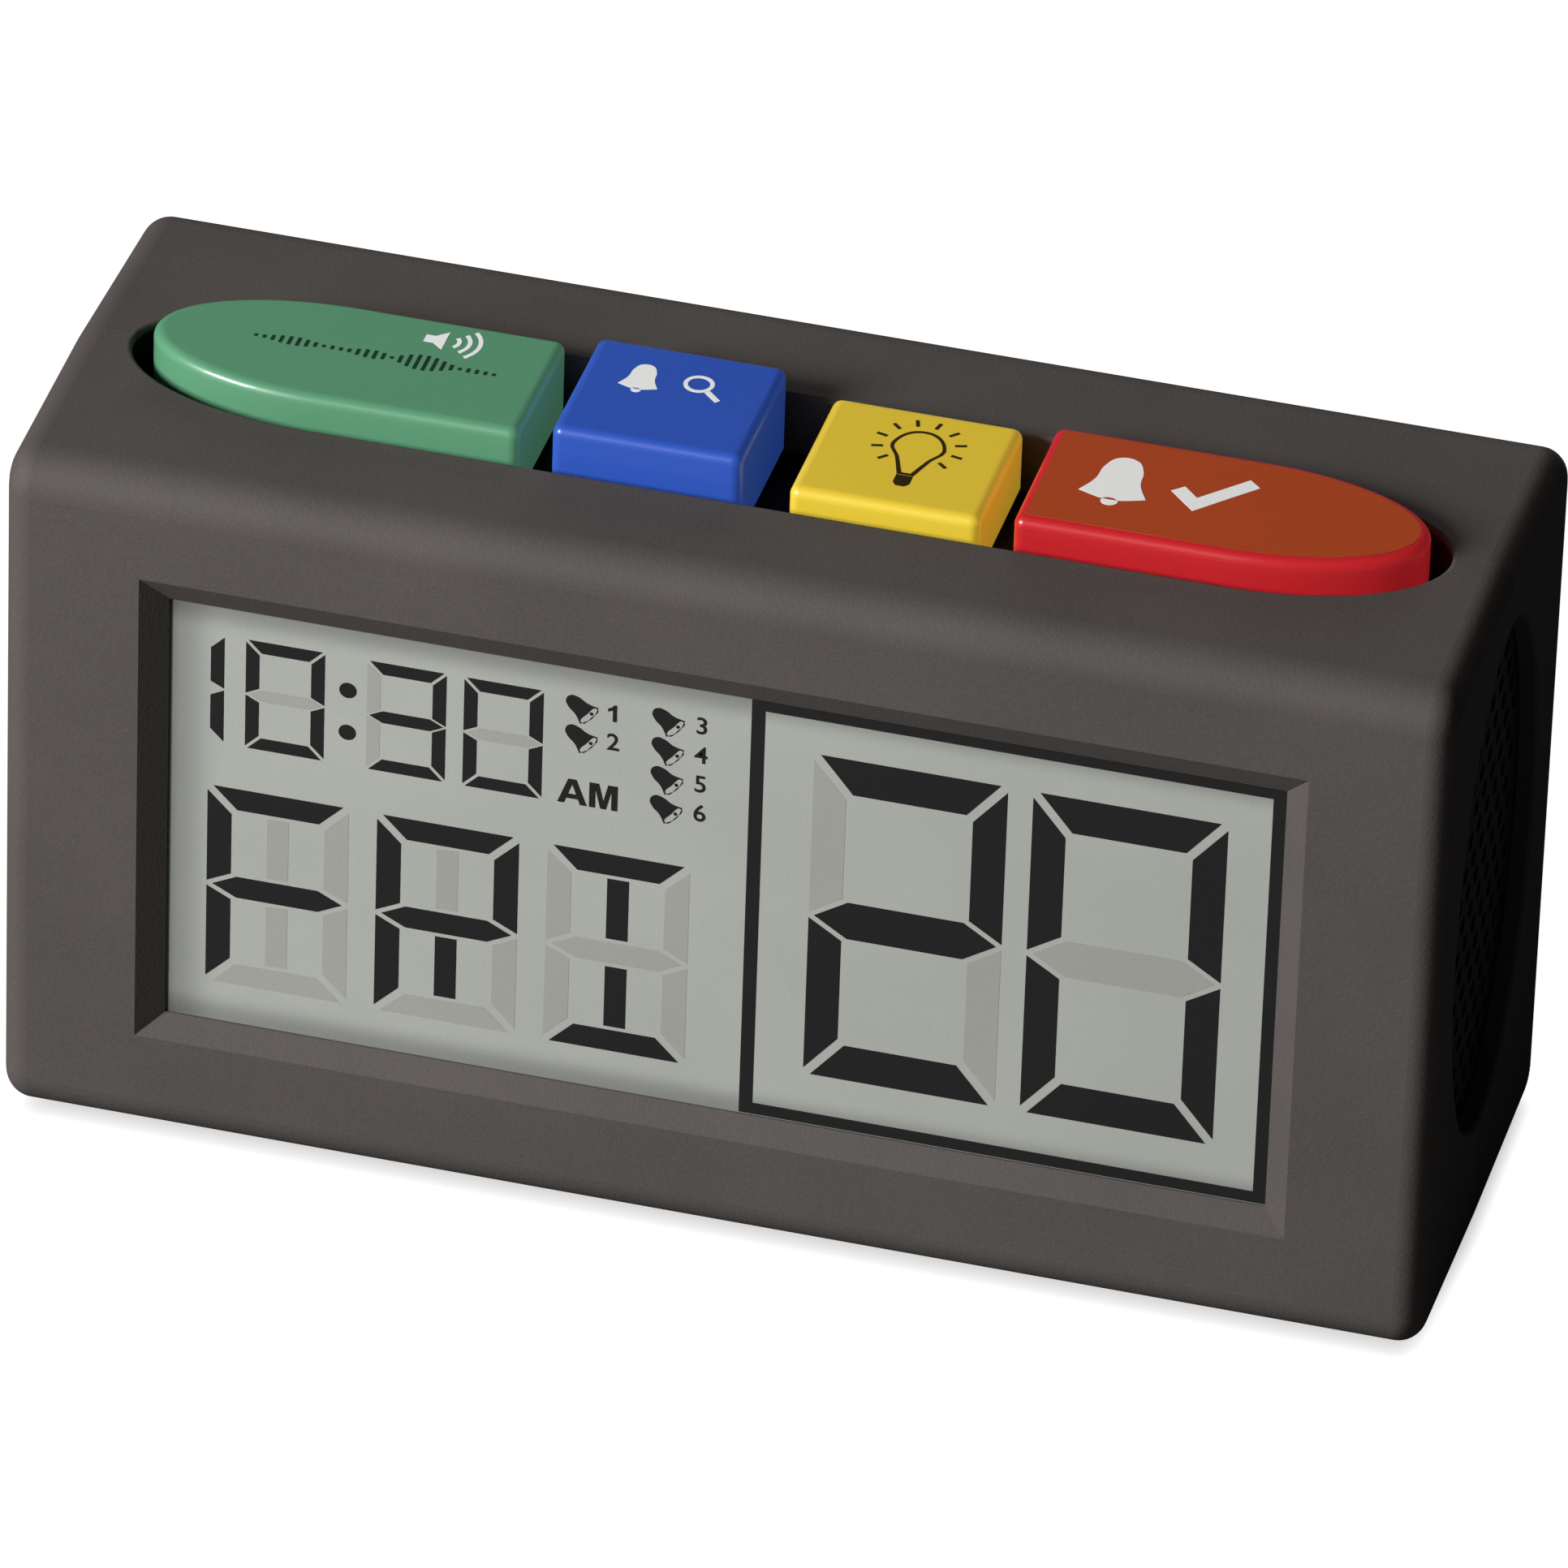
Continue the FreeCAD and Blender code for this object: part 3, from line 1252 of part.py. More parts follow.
def lead(label, corners, radius):
    """A round wire along straight runs joined by arcs as large as the runs allow."""
    bend_share = 0.45
    edges = []
    start = corners[0]
    for before, corner, after in zip(corners, corners[1:], corners[2:]):
        back = before - corner
        ahead = after - corner
        trim = bend_share * min(back.Length, ahead.Length)
        first = corner + back.normalize() * trim
        last = corner + ahead.normalize() * trim
        edges += [Part.LineSegment(start, first).toShape(), bend(first, corner, last)]
        start = last
    edges.append(Part.LineSegment(start, corners[-1]).toShape())
    ring = Part.Circle(corners[0], corners[1] - corners[0], radius).toShape()
    wire = doc.addObject("Part::Feature", label)
    wire.Shape = Part.Wire(edges).makePipeShell([Part.Wire([ring])], True, False)
    return wire


def leads():
    """Two wires from the speaker and two from the battery bay to the main board."""
    doc.recompute()
    gap = size("seat_gap")
    stub = size("lead_stub")
    radius = size("lead_radius")
    board = doc.getObject("main_board").Shape.BoundBox
    flange = doc.getObject("speaker_frame").Shape.BoundBox
    bay = doc.getObject("bay_walls").Shape.BoundBox
    board_y = board.YMax + gap
    solder_z = flange.ZMin + size("flange_width") / 2
    speaker_wires = []
    battery_wires = []
    for name, side in (("red", -1), ("black", 1)):
        shift = side * size("lead_spacing") / 2
        tag_x = flange.XMax - size("flange_thickness") - gap
        start = FreeCAD.Vector(tag_x, flange.Center.y + shift, solder_z)
        finish = FreeCAD.Vector(board.XMax - 2 * stub + shift, board_y, solder_z - stub)
        speaker_wires.append(lead(f"speaker_lead_{name}", [
            start, start - FreeCAD.Vector(2 * stub, 0, 0), finish + FreeCAD.Vector(0, stub, 0), finish],
            radius))
        start = FreeCAD.Vector(bay.Center.x + shift, bay.YMin - gap, bay.Center.z)
        finish = FreeCAD.Vector(bay.Center.x + stub + shift, board_y, bay.Center.z - 2 * stub)
        battery_wires.append(lead(f"battery_lead_{name}", [
            start, start - FreeCAD.Vector(0, stub, 0), finish + FreeCAD.Vector(0, stub, 0), finish],
            radius))
    node(group("speaker_leads", speaker_wires))
    node(group("battery_leads", battery_wires))


front_housing()
rear_housing()
display()
main_board()
tray(keys())
key_board()
grilles()
speaker()
control_panel()
set_keys()
rear_key_board()
volume_switch()
batteries()
battery_door()
case_screws()
feet()
leads()
doc.recompute()

for item in doc.Objects:
    if "Invalid" in item.State or "Error" in item.State:
        raise RuntimeError(f"{item.Label} did not build: {item.State}")
for item in nodes:
    if item.Shape.isNull() or not item.Shape.isValid() or not item.Shape.Solids:
        raise RuntimeError(f"{item.Label} has no valid solid")
for item in nodes:
    item.Shape.exportStep(f"parts/{item.Label}.step")
    print(f"{item.Label}: {len(item.Shape.Solids)} solids, {item.Shape.Volume / 1000:.2f} cm3")
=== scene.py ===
"""Looks of the talking clock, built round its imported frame.

Lengths are in metres, in the frame of the CAD part: X to the right along the display,
Y to the rear and Z up. Drawings on the display and the keys are made in millimetres.
"""
import json
import math

import bpy
from mathutils import Matrix, Vector


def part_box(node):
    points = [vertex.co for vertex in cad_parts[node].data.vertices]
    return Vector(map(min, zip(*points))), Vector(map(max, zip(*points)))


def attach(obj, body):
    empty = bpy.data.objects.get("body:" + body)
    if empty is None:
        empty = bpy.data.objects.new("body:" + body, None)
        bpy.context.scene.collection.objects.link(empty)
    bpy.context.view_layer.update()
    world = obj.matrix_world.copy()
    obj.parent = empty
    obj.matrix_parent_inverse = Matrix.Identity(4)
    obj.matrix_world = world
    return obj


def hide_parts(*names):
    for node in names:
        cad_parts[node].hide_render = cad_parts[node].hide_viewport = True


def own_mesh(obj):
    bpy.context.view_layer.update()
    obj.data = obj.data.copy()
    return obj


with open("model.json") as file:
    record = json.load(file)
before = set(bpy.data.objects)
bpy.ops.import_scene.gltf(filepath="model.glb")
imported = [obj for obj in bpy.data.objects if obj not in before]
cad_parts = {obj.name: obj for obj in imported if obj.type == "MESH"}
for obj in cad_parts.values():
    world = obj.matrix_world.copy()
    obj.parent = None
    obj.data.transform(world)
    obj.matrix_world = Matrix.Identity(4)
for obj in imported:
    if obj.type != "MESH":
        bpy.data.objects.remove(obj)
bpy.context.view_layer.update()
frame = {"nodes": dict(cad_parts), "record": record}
nodes = frame["nodes"]
MM = 0.001

# Camera, found from the photograph
LENS = 400.5
SENSOR = 36.0
YAW = 0.2433
PITCH = 0.5879
ROLL = 0.0349
AIM = Vector((0.0, -0.0010, 0.0388))
AIM_RIGHT = 0.8655 * MM
AIM_UP = 4.8331 * MM
DISTANCE = 1.9588

# Case: painted shade, near black, on the key slot's inner walls: how far it starts under the top and spreads
# past the keys
SLOT_SHADE_START = 0.9 * MM
SLOT_SHADE_SPREAD = 1.2 * MM
SLOT_SHADE_REACH = 4.4 * MM

# Display glass: its lap behind the window's rim in millimetres, and the painted shade along three edges
WINDOW_LAP = 2.25
EDGE_SHADE = 0.42
LEFT_SHADE_WIDTH = 7.0 * MM
TOP_SHADE_WIDTH = 4.2 * MM
LOWER_SHADE_WIDTH = 4.2 * MM

# Cells and circuit boards
CELL_END = 1.3 * MM
CELL_BAND = 9.0 * MM
CELL_BAND_WIDTH = 3.0 * MM
TRACE_PITCH = 520.0

# Ink thickness on the display and the keys, in millimetres
INK_DEPTH = 0.04
GHOST_DEPTH = 0.02
PRINT_DEPTH = 0.03

# Display figures in millimetres, right and down from the window's top left corner
WINDOW_WIDTH = 127.5
WINDOW_HEIGHT = 55.5
TIME_TOP = 3.87
TIME_WIDTH = 9.1
TIME_HEIGHT = 14.35
TIME_BAR = 1.55
TIME_GAP = 0.4
TIME_LEFTS = (-2.8, 8.8, 22.8, 33.95)
TIME_LIT = ("bc", "abcdef", "abcdg", "abcdef")
COLON_X = 20.6
COLON_DOTS = (8.3, 13.87)
COLON_RADIUS = 1.0
DAY_LEFTS = (4.57, 24.25, 43.95)
DAY_TOP = 24.0
DAY_WIDTH = 16.4
DAY_HEIGHT = 26.35
DAY_BAR = 2.8
DAY_MIDDLE_BAR = 2.5
DAY_GAP = 0.95
DAY_LIT = ("aefg", "abefgk", "adjk")
DATE_LEFTS = (74.05, 99.0)
DATE_TOP = 6.0
DATE_WIDTH = 22.05
DATE_HEIGHT = 42.7
DATE_BAR = 3.8
DATE_CROSS = 4.6
DATE_MIDDLE = 4.85
DATE_GAP = 1.1
DATE_LIT = ("abdeg", "abcdef")
BORDER_LEFT = 66.8
BORDER_BAR = 1.55
BORDER_EDGE = 0.06

# Alarm bells on the display: each column's left, its rows' tops, its numbers' place and the numbers
BELL_TILT = 50.0
BELL_DROP = 1.75
BELL_SHIFT = (0.85, -0.75)
BELL_COLUMNS = ((47.45, (3.65, 7.55), 51.1, ("1", "2")),
                (57.35, (3.4, 7.26, 11.1, 14.95), 61.2, ("3", "4", "5", "6")))
NUMBER_SIZE = 3.1
NUMBER_RISE = 0.1
NUMBER_WEIGHT = 0.03
NUMBER_ONE = [(0.36, -1.08), (0.36, 1.1), (0.0, 1.1), (-0.18, 0.8), (-0.66, 0.56), (-0.66, 0.16), (-0.1, 0.4),
              (-0.1, -1.08)]
MARK_LEFT = 44.9
MARK_BASE = -18.15
MARK_STEP = 3.65
LETTER_A = [(0, 0), (1.2, 3.25), (2.15, 3.25), (3.4, 0), (2.6, 0), (2.37, 0.68), (1.0, 0.68), (0.78, 0)]
LETTER_A_HOLE = [(1.22, 1.28), (2.15, 1.28), (1.68, 2.6)]
LETTER_M = [(0, 0), (0, 3.25), (1.1, 3.25), (1.63, 1.05), (2.15, 3.25), (3.25, 3.25), (3.25, 0), (2.55, 0),
            (2.55, 2.5), (1.95, 0), (1.3, 0), (0.7, 2.5), (0.7, 0)]

# A hand bell in shares of its mouth's half width and its height: x, y and whether it is smooth there
BELL_HEIGHT = 3.1
BELL_MOUTH = 1.6
BELL_OPEN = 0.42
BELL_MIDDLE = 0.42
MOUTH_SHARES = (0.86, 0.75)
SIDE_CLAPPER = (0.25, 0.5)
HUNG_CLAPPER = (0.60, 0.13, 0.11)
BELL_SHARES = [(-0.26, 1.02, True), (0.26, 1.02, True), (0.56, 0.78, True), (0.68, 0.36, True),
               (1.0, 0.0, False), (0.0, -0.14, True), (-1.0, 0.0, False), (-0.68, 0.36, True),
               (-0.56, 0.78, True)]

# Key signs in millimetres, from the middle of each key's top
TALK_SIGN = (8.6, 5.6)
TALK_HORN = [(-1.4, -0.7), (-0.3, -0.7), (1.0, -1.9), (1.0, 1.9), (-0.3, 0.7), (-1.4, 0.7)]
TALK_ARC_MIDDLE = 1.2
TALK_ARC_RADII = (1.6, 2.8, 4.0)
TALK_ARC_WIDTH = 0.5
TALK_ARC_TURN = 45
BARS_LEFT = -10.9
BARS_LENGTH = 27.5
BARS_Y = 0.5
BAR_COUNT = 29
BAR_WIDTH = 0.42
BAR_LEAST = 0.25
BAR_SWING = 1.7
BAR_WAVES = (11.0, 4.2)
CHECK_BELL = (-4.0, 2.8, 4.4)
CHECK_GLASS = (2.4, 3.4)
CHECK_GLASS_RADII = (1.75, 1.25)
CHECK_HANDLE = ((1.2, -1.2), (2.9, -2.9))
CHECK_HANDLE_WIDTH = 0.7
BULB = (0.7, 2.6)
BULB_RADIUS = 3.1
BULB_WAIST = 2.0
BULB_WAIST_DROPS = (2.9, 2.8)
BULB_NECK = 0.95
BULB_HEIGHT = 6.2
BULB_CAP = [(-0.95, -6.3), (0.95, -6.3), (0.95, -7.9), (0.5, -8.5), (-0.5, -8.5), (-0.95, -7.9)]
BULB_LINE = 0.42
RAY_COUNT = 10
RAY_START = -42
RAY_SWEEP = 267
RAY_REACH = (4.0, 5.3)
FIELD_INSET = 1.15
FIELD_BOW = 21.0
FIELD_STEPS = 16
ACKNOWLEDGE_BELL = (-13.1, 0.8, 7.4)
ACKNOWLEDGE_TICK = [(-7.1, 0.5), (-5.8, 1.8), (-4.0, -0.1), (0.8, 5.2), (2.2, 3.9), (-3.9, -2.8)]

# Rear signs in millimetres, from the middle of each key
DIAL_RADII = (1.9, 1.5)
DIAL_HANDS = [(-0.2, 1.15), (0.2, 1.15), (0.2, 0.2), (0.9, 0.2), (0.9, -0.2), (-0.2, -0.2)]
SIGN_ARM = 1.4
SIGN_HALF = 0.3
REAR_BELL = 3.2
RINGING_BELL = 3.0
RINGING_RADII = (2.9, 2.5)
RINGING_TURN = 28
HOURS_SIZE = 2.2
HOURS_WEIGHT = 0.02
WEDGE = [(-5.0, -0.1), (5.0, -0.9), (5.0, 0.9), (-5.0, 0.1)]
WEDGE_DROP = 2.4 * MM
DOOR_ARROW = [(-2.6, 1.2), (2.6, 1.2), (0, -2.2)]
DOOR_ARROW_DEPTH = 0.8
DOOR_ARROW_LIFT = 12.0 * MM

# Return springs: how near two points are to be one
SAME_POINT = 0.001 * MM

# Floor and light
FLOOR_SIZE = 6.0
FLOOR_GREY = 0.1
FLOOR_GLOW = 0.99
CONTACT_REACH = 2.4 * MM
CONTACT_POWER = 0.8
WORLD_LIGHT = 0.02

# Lamps: compass angle and height in degrees, distance and size in metres, and power in watts
KEY_LAMP = (-46, 26, 1.4, 0.45, 26.5)
FILL_LAMP = (-25, 35, 1.6, 1.0, 2.0)
REAR_LAMP = (190, 16, 1.6, 0.8, 14.0)
KEY_END_LAMP = (84, 6, 1.4, 0.45, 10.0)


def colour(code):
    """A screen colour such as 5A5552 as linear red, green, blue and alpha."""
    shares = [int(code[place:place + 2], 16) / 255 for place in (0, 2, 4)]
    linear = [s / 12.92 if s <= 0.04045 else ((s + 0.055) / 1.055) ** 2.4 for s in shares]
    return (*linear, 1.0)


def make_camera():
    camera = bpy.data.objects.new("camera", bpy.data.cameras.new("camera"))
    camera.data.lens = LENS
    camera.data.sensor_width = SENSOR
    bpy.context.scene.collection.objects.link(camera)
    forward = Vector((-math.sin(YAW) * math.cos(PITCH), math.cos(YAW) * math.cos(PITCH), -math.sin(PITCH)))
    level = forward.cross(Vector((0, 0, 1))).normalized()
    upright = level.cross(forward)
    right = math.cos(ROLL) * level + math.sin(ROLL) * upright
    up = math.cos(ROLL) * upright - math.sin(ROLL) * level
    spot = AIM + AIM_RIGHT * right + AIM_UP * up - DISTANCE * forward
    turn = Matrix((right, up, -forward)).transposed().to_4x4()
    camera.matrix_world = Matrix.Translation(spot) @ turn
    bpy.context.scene.camera = camera


# Shader tools

def new_group(name, inputs, outputs):
    """A shader group with named inputs and outputs; returns it and its end nodes."""
    group = bpy.data.node_groups.new(name, "ShaderNodeTree")
    for label, kind, value in inputs:
        socket = group.interface.new_socket(label, in_out="INPUT", socket_type=kind)
        socket.default_value = value
    for label, kind in outputs:
        group.interface.new_socket(label, in_out="OUTPUT", socket_type=kind)
    start = group.nodes.new("NodeGroupInput")
    finish = group.nodes.new("NodeGroupOutput")
    return group, start, finish


def add(tree, kind, **settings):
    """A shader node with its options set, and its plain inputs given by name or number."""
    node = tree.nodes.new(kind)
    for name, value in settings.pop("inputs", {}).items():
        node.inputs[name].default_value = value
    for name, value in settings.items():
        setattr(node, name, value)
    return node


def math_node(tree, operation, first, second=None):
    """One sum of two values, each a number or an output."""
    node = add(tree, "ShaderNodeMath", operation=operation)
    for place, value in enumerate((first, second)):
        if value is None:
            continue
        if isinstance(value, (int, float)):
            node.inputs[place].default_value = value
        else:
            tree.links.new(value, node.inputs[place])
    return node.outputs[0]


def inside_mask(tree, value, low, high):
    """One where a value lies between two limits, else zero."""
    above = math_node(tree, "GREATER_THAN", value, low)
    return math_node(tree, "MULTIPLY", above, math_node(tree, "LESS_THAN", value, high))


def make_moulded_grain():
    """Fine moulded texture: a colour that wanders a little, a roughness and a height."""
    group, start, finish = new_group(
        "moulded_grain",
        [("Colour", "NodeSocketColor", (0.5, 0.5, 0.5, 1.0)),
         ("Mottle", "NodeSocketFloat", 0.05),
         ("Roughness", "NodeSocketFloat", 0.5),
         ("Roughness Spread", "NodeSocketFloat", 0.05),
         ("Grain Scale", "NodeSocketFloat", 3000.0),
         ("Broad Scale", "NodeSocketFloat", 45.0)],
        [("Colour", "NodeSocketColor"), ("Roughness", "NodeSocketFloat"), ("Height", "NodeSocketFloat")])
    links = group.links
    place = add(group, "ShaderNodeTexCoord")
    fine = add(group, "ShaderNodeTexNoise", inputs={"Detail": 3.0, "Roughness": 0.6})
    broad = add(group, "ShaderNodeTexNoise", inputs={"Detail": 4.0, "Roughness": 0.55})
    for noise, scale in ((fine, "Grain Scale"), (broad, "Broad Scale")):
        links.new(place.outputs["Object"], noise.inputs["Vector"])
        links.new(start.outputs[scale], noise.inputs["Scale"])
    both = math_node(group, "ADD", fine.outputs["Fac"], broad.outputs["Fac"])
    swing = math_node(group, "SUBTRACT", both, 1.0)
    shade = math_node(group, "ADD", math_node(group, "MULTIPLY", swing, start.outputs["Mottle"]), 1.0)
    tint = add(group, "ShaderNodeVectorMath", operation="SCALE")
    links.new(start.outputs["Colour"], tint.inputs[0])
    links.new(shade, tint.inputs["Scale"])
    links.new(tint.outputs[0], finish.inputs["Colour"])
    drift = math_node(group, "SUBTRACT", broad.outputs["Fac"], 0.5)
    drift = math_node(group, "MULTIPLY", drift, start.outputs["Roughness Spread"])
    links.new(math_node(group, "ADD", drift, start.outputs["Roughness"]), finish.inputs["Roughness"])
    links.new(fine.outputs["Fac"], finish.inputs["Height"])
    return group


moulded_grain = make_moulded_grain()


def blank_material(name):
    """A material with its shader; returns the material, its tree and the shader."""
    material = bpy.data.materials.new(name)
    material.use_nodes = True
    tree = material.node_tree
    return material, tree, tree.nodes["Principled BSDF"]


def moulded(name, code, roughness, mottle=0.06, grain=3000.0, depth=0.02, spread=0.08, metallic=0.0,
            coat=0.0, gloss=0.5):
    """A moulded, painted or pressed finish in one colour, with the shared grain."""
    material, tree, shader = blank_material(name)
    texture = add(tree, "ShaderNodeGroup", node_tree=moulded_grain)
    texture.inputs["Colour"].default_value = colour(code)
    texture.inputs["Mottle"].default_value = mottle
    texture.inputs["Roughness"].default_value = roughness
    texture.inputs["Roughness Spread"].default_value = spread
    texture.inputs["Grain Scale"].default_value = grain
    bump = add(tree, "ShaderNodeBump", inputs={"Strength": 1.0, "Distance": depth * MM})
    tree.links.new(texture.outputs["Colour"], shader.inputs["Base Color"])
    tree.links.new(texture.outputs["Roughness"], shader.inputs["Roughness"])
    tree.links.new(texture.outputs["Height"], bump.inputs["Height"])
    tree.links.new(bump.outputs["Normal"], shader.inputs["Normal"])
    shader.inputs["Metallic"].default_value = metallic
    shader.inputs["Coat Weight"].default_value = coat
    shader.inputs["Specular IOR Level"].default_value = gloss
    return material


def place_split(material):
    """The X, Y and Z outputs of a point's place on the object."""
    tree = material.node_tree
    place = add(tree, "ShaderNodeTexCoord")
    split = add(tree, "ShaderNodeSeparateXYZ")
    tree.links.new(place.outputs["Object"], split.inputs[0])
    return split.outputs


def overlay(material, mask, code, metallic=False):
    """Lay a second colour over a finish where a mask is one, bare metal there if asked."""
    tree = material.node_tree
    shader = tree.nodes["Principled BSDF"]
    mix = add(tree, "ShaderNodeMix", data_type="RGBA")
    under = shader.inputs["Base Color"].links[0].from_socket
    tree.links.new(mask, mix.inputs["Factor"])
    tree.links.new(under, mix.inputs["A"])
    mix.inputs["B"].default_value = colour(code)
    tree.links.new(mix.outputs["Result"], shader.inputs["Base Color"])
    if metallic:
        tree.links.new(mask, shader.inputs["Metallic"])
    return material


# Materials

def case_plastic(name):
    """Soft dark plastic of the housings and the battery door."""
    return moulded(name, "524D4A", 0.72, mottle=0.36, grain=2600.0, depth=0.05, gloss=0.3)


def case_material_with_painted_slot_shade():
    """The housings' plastic, with near-black painted shade on the inner walls of the key slot."""
    material = case_plastic("case_plastic")
    tree = material.node_tree
    split = place_split(material)
    talk_low, talk_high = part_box("talk_key")
    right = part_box("acknowledge_key")[1].x
    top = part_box("rear_housing")[1].z - SLOT_SHADE_START
    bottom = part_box("key_tray")[0].z
    along = inside_mask(tree, split["X"], talk_low.x - SLOT_SHADE_REACH, right + SLOT_SHADE_REACH)
    across = inside_mask(tree, split["Y"], talk_low.y - SLOT_SHADE_SPREAD, talk_high.y + SLOT_SHADE_SPREAD)
    down = inside_mask(tree, split["Z"], bottom, top)
    # painted shade: the slot's inner walls are laid over with near black where the recess lies in shade
    mask = math_node(tree, "MULTIPLY", math_node(tree, "MULTIPLY", along, across), down)
    return overlay(material, mask, "080808")


def display_material():
    """Grey-green display, with painted shade along its left, upper and lower edges."""
    material = moulded("display_glass", "ABADA7", 0.42, mottle=0.16, grain=2600.0, depth=0.003, gloss=0.25)
    tree = material.node_tree
    shader = tree.nodes["Principled BSDF"]
    split = place_split(material)
    low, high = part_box("lcd_panel")
    left = low.x + WINDOW_LAP * MM
    top = high.z - WINDOW_LAP * MM
    bottom = low.z + WINDOW_LAP * MM
    edges = (("X", left, left + LEFT_SHADE_WIDTH), ("Z", top, top - TOP_SHADE_WIDTH),
             ("Z", bottom, bottom + LOWER_SHADE_WIDTH))
    share = 1.0
    for axis, start, finish in edges:
        fade = add(tree, "ShaderNodeMapRange", interpolation_type="SMOOTHERSTEP")
        tree.links.new(split[axis], fade.inputs["Value"])
        fade.inputs["From Min"].default_value = start
        fade.inputs["From Max"].default_value = finish
        fade.inputs["To Min"].default_value = 1.0 - EDGE_SHADE
        fade.inputs["To Max"].default_value = 1.0
        share = math_node(tree, "MULTIPLY", share, fade.outputs[0])
    tint = add(tree, "ShaderNodeVectorMath", operation="SCALE")
    tree.links.new(shader.inputs["Base Color"].links[0].from_socket, tint.inputs[0])
    tree.links.new(share, tint.inputs["Scale"])
    tree.links.new(tint.outputs[0], shader.inputs["Base Color"])
    return material


def cell_material():
    """Shrink wrap with a pale band near each end, and bare metal at both ends of the cells."""
    material = moulded("cell_wrap", "1F4E6E", 0.3, mottle=0.05, grain=700.0, depth=0.003, coat=0.5)
    tree = material.node_tree
    low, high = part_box("batteries")
    middle = (low.x + high.x) / 2
    half = (high.x - low.x) / 2
    away = math_node(tree, "ABSOLUTE", math_node(tree, "SUBTRACT", place_split(material)["X"], middle))
    band = inside_mask(tree, away, half - CELL_BAND - CELL_BAND_WIDTH, half - CELL_BAND)
    overlay(material, band, "C9C3B0")
    return overlay(material, math_node(tree, "GREATER_THAN", away, half - CELL_END), "B8B6B0", metallic=True)


def board_material():
    """Green solder resist with paler tracks."""
    material = moulded("board_green", "17502E", 0.32, mottle=0.06, grain=900.0, depth=0.004, coat=0.35)
    tree = material.node_tree
    place = add(tree, "ShaderNodeTexCoord")
    sizes = {"Scale": TRACE_PITCH, "Mortar Size": 0.09, "Brick Width": 3.4, "Row Height": 0.7,
             "Color1": (0, 0, 0, 1), "Color2": (0, 0, 0, 1), "Mortar": (1, 1, 1, 1)}
    tracks = add(tree, "ShaderNodeTexBrick", offset=0.37, squash=0.6, squash_frequency=3, inputs=sizes)
    tree.links.new(place.outputs["Object"], tracks.inputs["Vector"])
    return overlay(material, tracks.outputs["Color"], "2F7A48")


def key_plastic(name, code, roughness=0.36, mottle=0.03, coat=0.25):
    """Smooth coloured plastic of a top key."""
    return moulded(name, code, roughness, mottle=mottle, grain=900.0, depth=0.004, coat=coat)


FINISHES = {
    "case_plastic": case_material_with_painted_slot_shade(),
    "door_plastic": case_plastic("door_plastic"),
    "display_glass": display_material(),
    "frame_plastic": moulded("frame_plastic", "D8D8D2", 0.5),
    "light_guide": moulded("light_guide", "E4EAE4", 0.15, coat=0.4),
    "zebra_rubber": moulded("zebra_rubber", "C58E92", 0.6),
    "board_green": board_material(),
    "screw_steel": moulded("screw_steel", "B9BABC", 0.32, metallic=1.0, grain=1500.0),
    "case_screw_steel": moulded("case_screw_steel", "4A4A4C", 0.38, metallic=1.0, grain=1500.0),
    "chip_black": moulded("chip_black", "1B1B1C", 0.5),
    "crystal_can": moulded("crystal_can", "D4D5D6", 0.25, metallic=1.0),
    "talk_green": key_plastic("talk_green", "5B9672"),
    "check_blue": key_plastic("check_blue", "3056BA"),
    "light_yellow": key_plastic("light_yellow", "EACA3C", mottle=0.02),
    "acknowledge_red": key_plastic("acknowledge_red", "C6242A", roughness=0.34, coat=0.3),
    "spring_steel": moulded("spring_steel", "C8C9CC", 0.25, metallic=1.0),
    "tray_black": moulded("tray_black", "0B0B0B", 0.6),
    "switch_black": moulded("switch_black", "1A1A1B", 0.45),
    "grille_black": moulded("grille_black", "0A0A0B", 0.55, depth=0.03),
    "gasket_foam": moulded("gasket_foam", "141414", 0.9, grain=1200.0, depth=0.15),
    "speaker_steel": moulded("speaker_steel", "2C2D2F", 0.4),
    "cone_paper": moulded("cone_paper", "22201E", 0.85, grain=1100.0, depth=0.08),
    "magnet_ferrite": moulded("magnet_ferrite", "3A3A3D", 0.45, metallic=0.4),
    "panel_black": moulded("panel_black", "1E1D1C", 0.5, depth=0.03),
    "set_key_grey": moulded("set_key_grey", "8E8E8A", 0.5, depth=0.01),
    "mat_rubber": moulded("mat_rubber", "A8A8A4", 0.6),
    "slider_grey": moulded("slider_grey", "8E8E8A", 0.45),
    "cell_wrap": cell_material(),
    "plate_nickel": moulded("plate_nickel", "CFCBC2", 0.3, metallic=1.0),
    "foot_rubber": moulded("foot_rubber", "171717", 0.75, depth=0.05),
    "lead_sleeve": moulded("lead_sleeve", "A01A18", 0.45),
}

for row in frame["record"]["subparts"]:
    piece = nodes[row["node"]]
    piece.data.materials.clear()
    piece.data.materials.append(FINISHES[row["material_slot"]])

segment_ink = moulded("segment_ink", "242424", 0.5, mottle=0.05, grain=2600.0, depth=0.003, gloss=0.1)
ghost_ink = moulded("ghost_ink", "9FA09A", 0.42, mottle=0.12, grain=2600.0, depth=0.003, gloss=0.25)
white_ink = moulded("white_ink", "FDFDFB", 0.4, mottle=0.02, depth=0.004)
dark_ink = moulded("dark_ink", "1F3A2A", 0.4, mottle=0.02, depth=0.004)
brown_ink = moulded("brown_ink", "33260E", 0.4, mottle=0.02, depth=0.004)
rust_ink = moulded("rust_ink", "B54A22", 0.36, mottle=0.03, grain=900.0, depth=0.004)


# Drawing tools

def all_off():
    for item in bpy.context.selected_objects:
        item.select_set(False)


def made_mesh(item, place):
    """Turn a curve or a text into a mesh, with its place in the mesh."""
    bpy.context.scene.collection.objects.link(item)
    all_off()
    item.select_set(True)
    bpy.context.view_layer.objects.active = item
    bpy.ops.object.convert(target="MESH")
    item.data.transform(place)
    item.select_set(False)
    return item


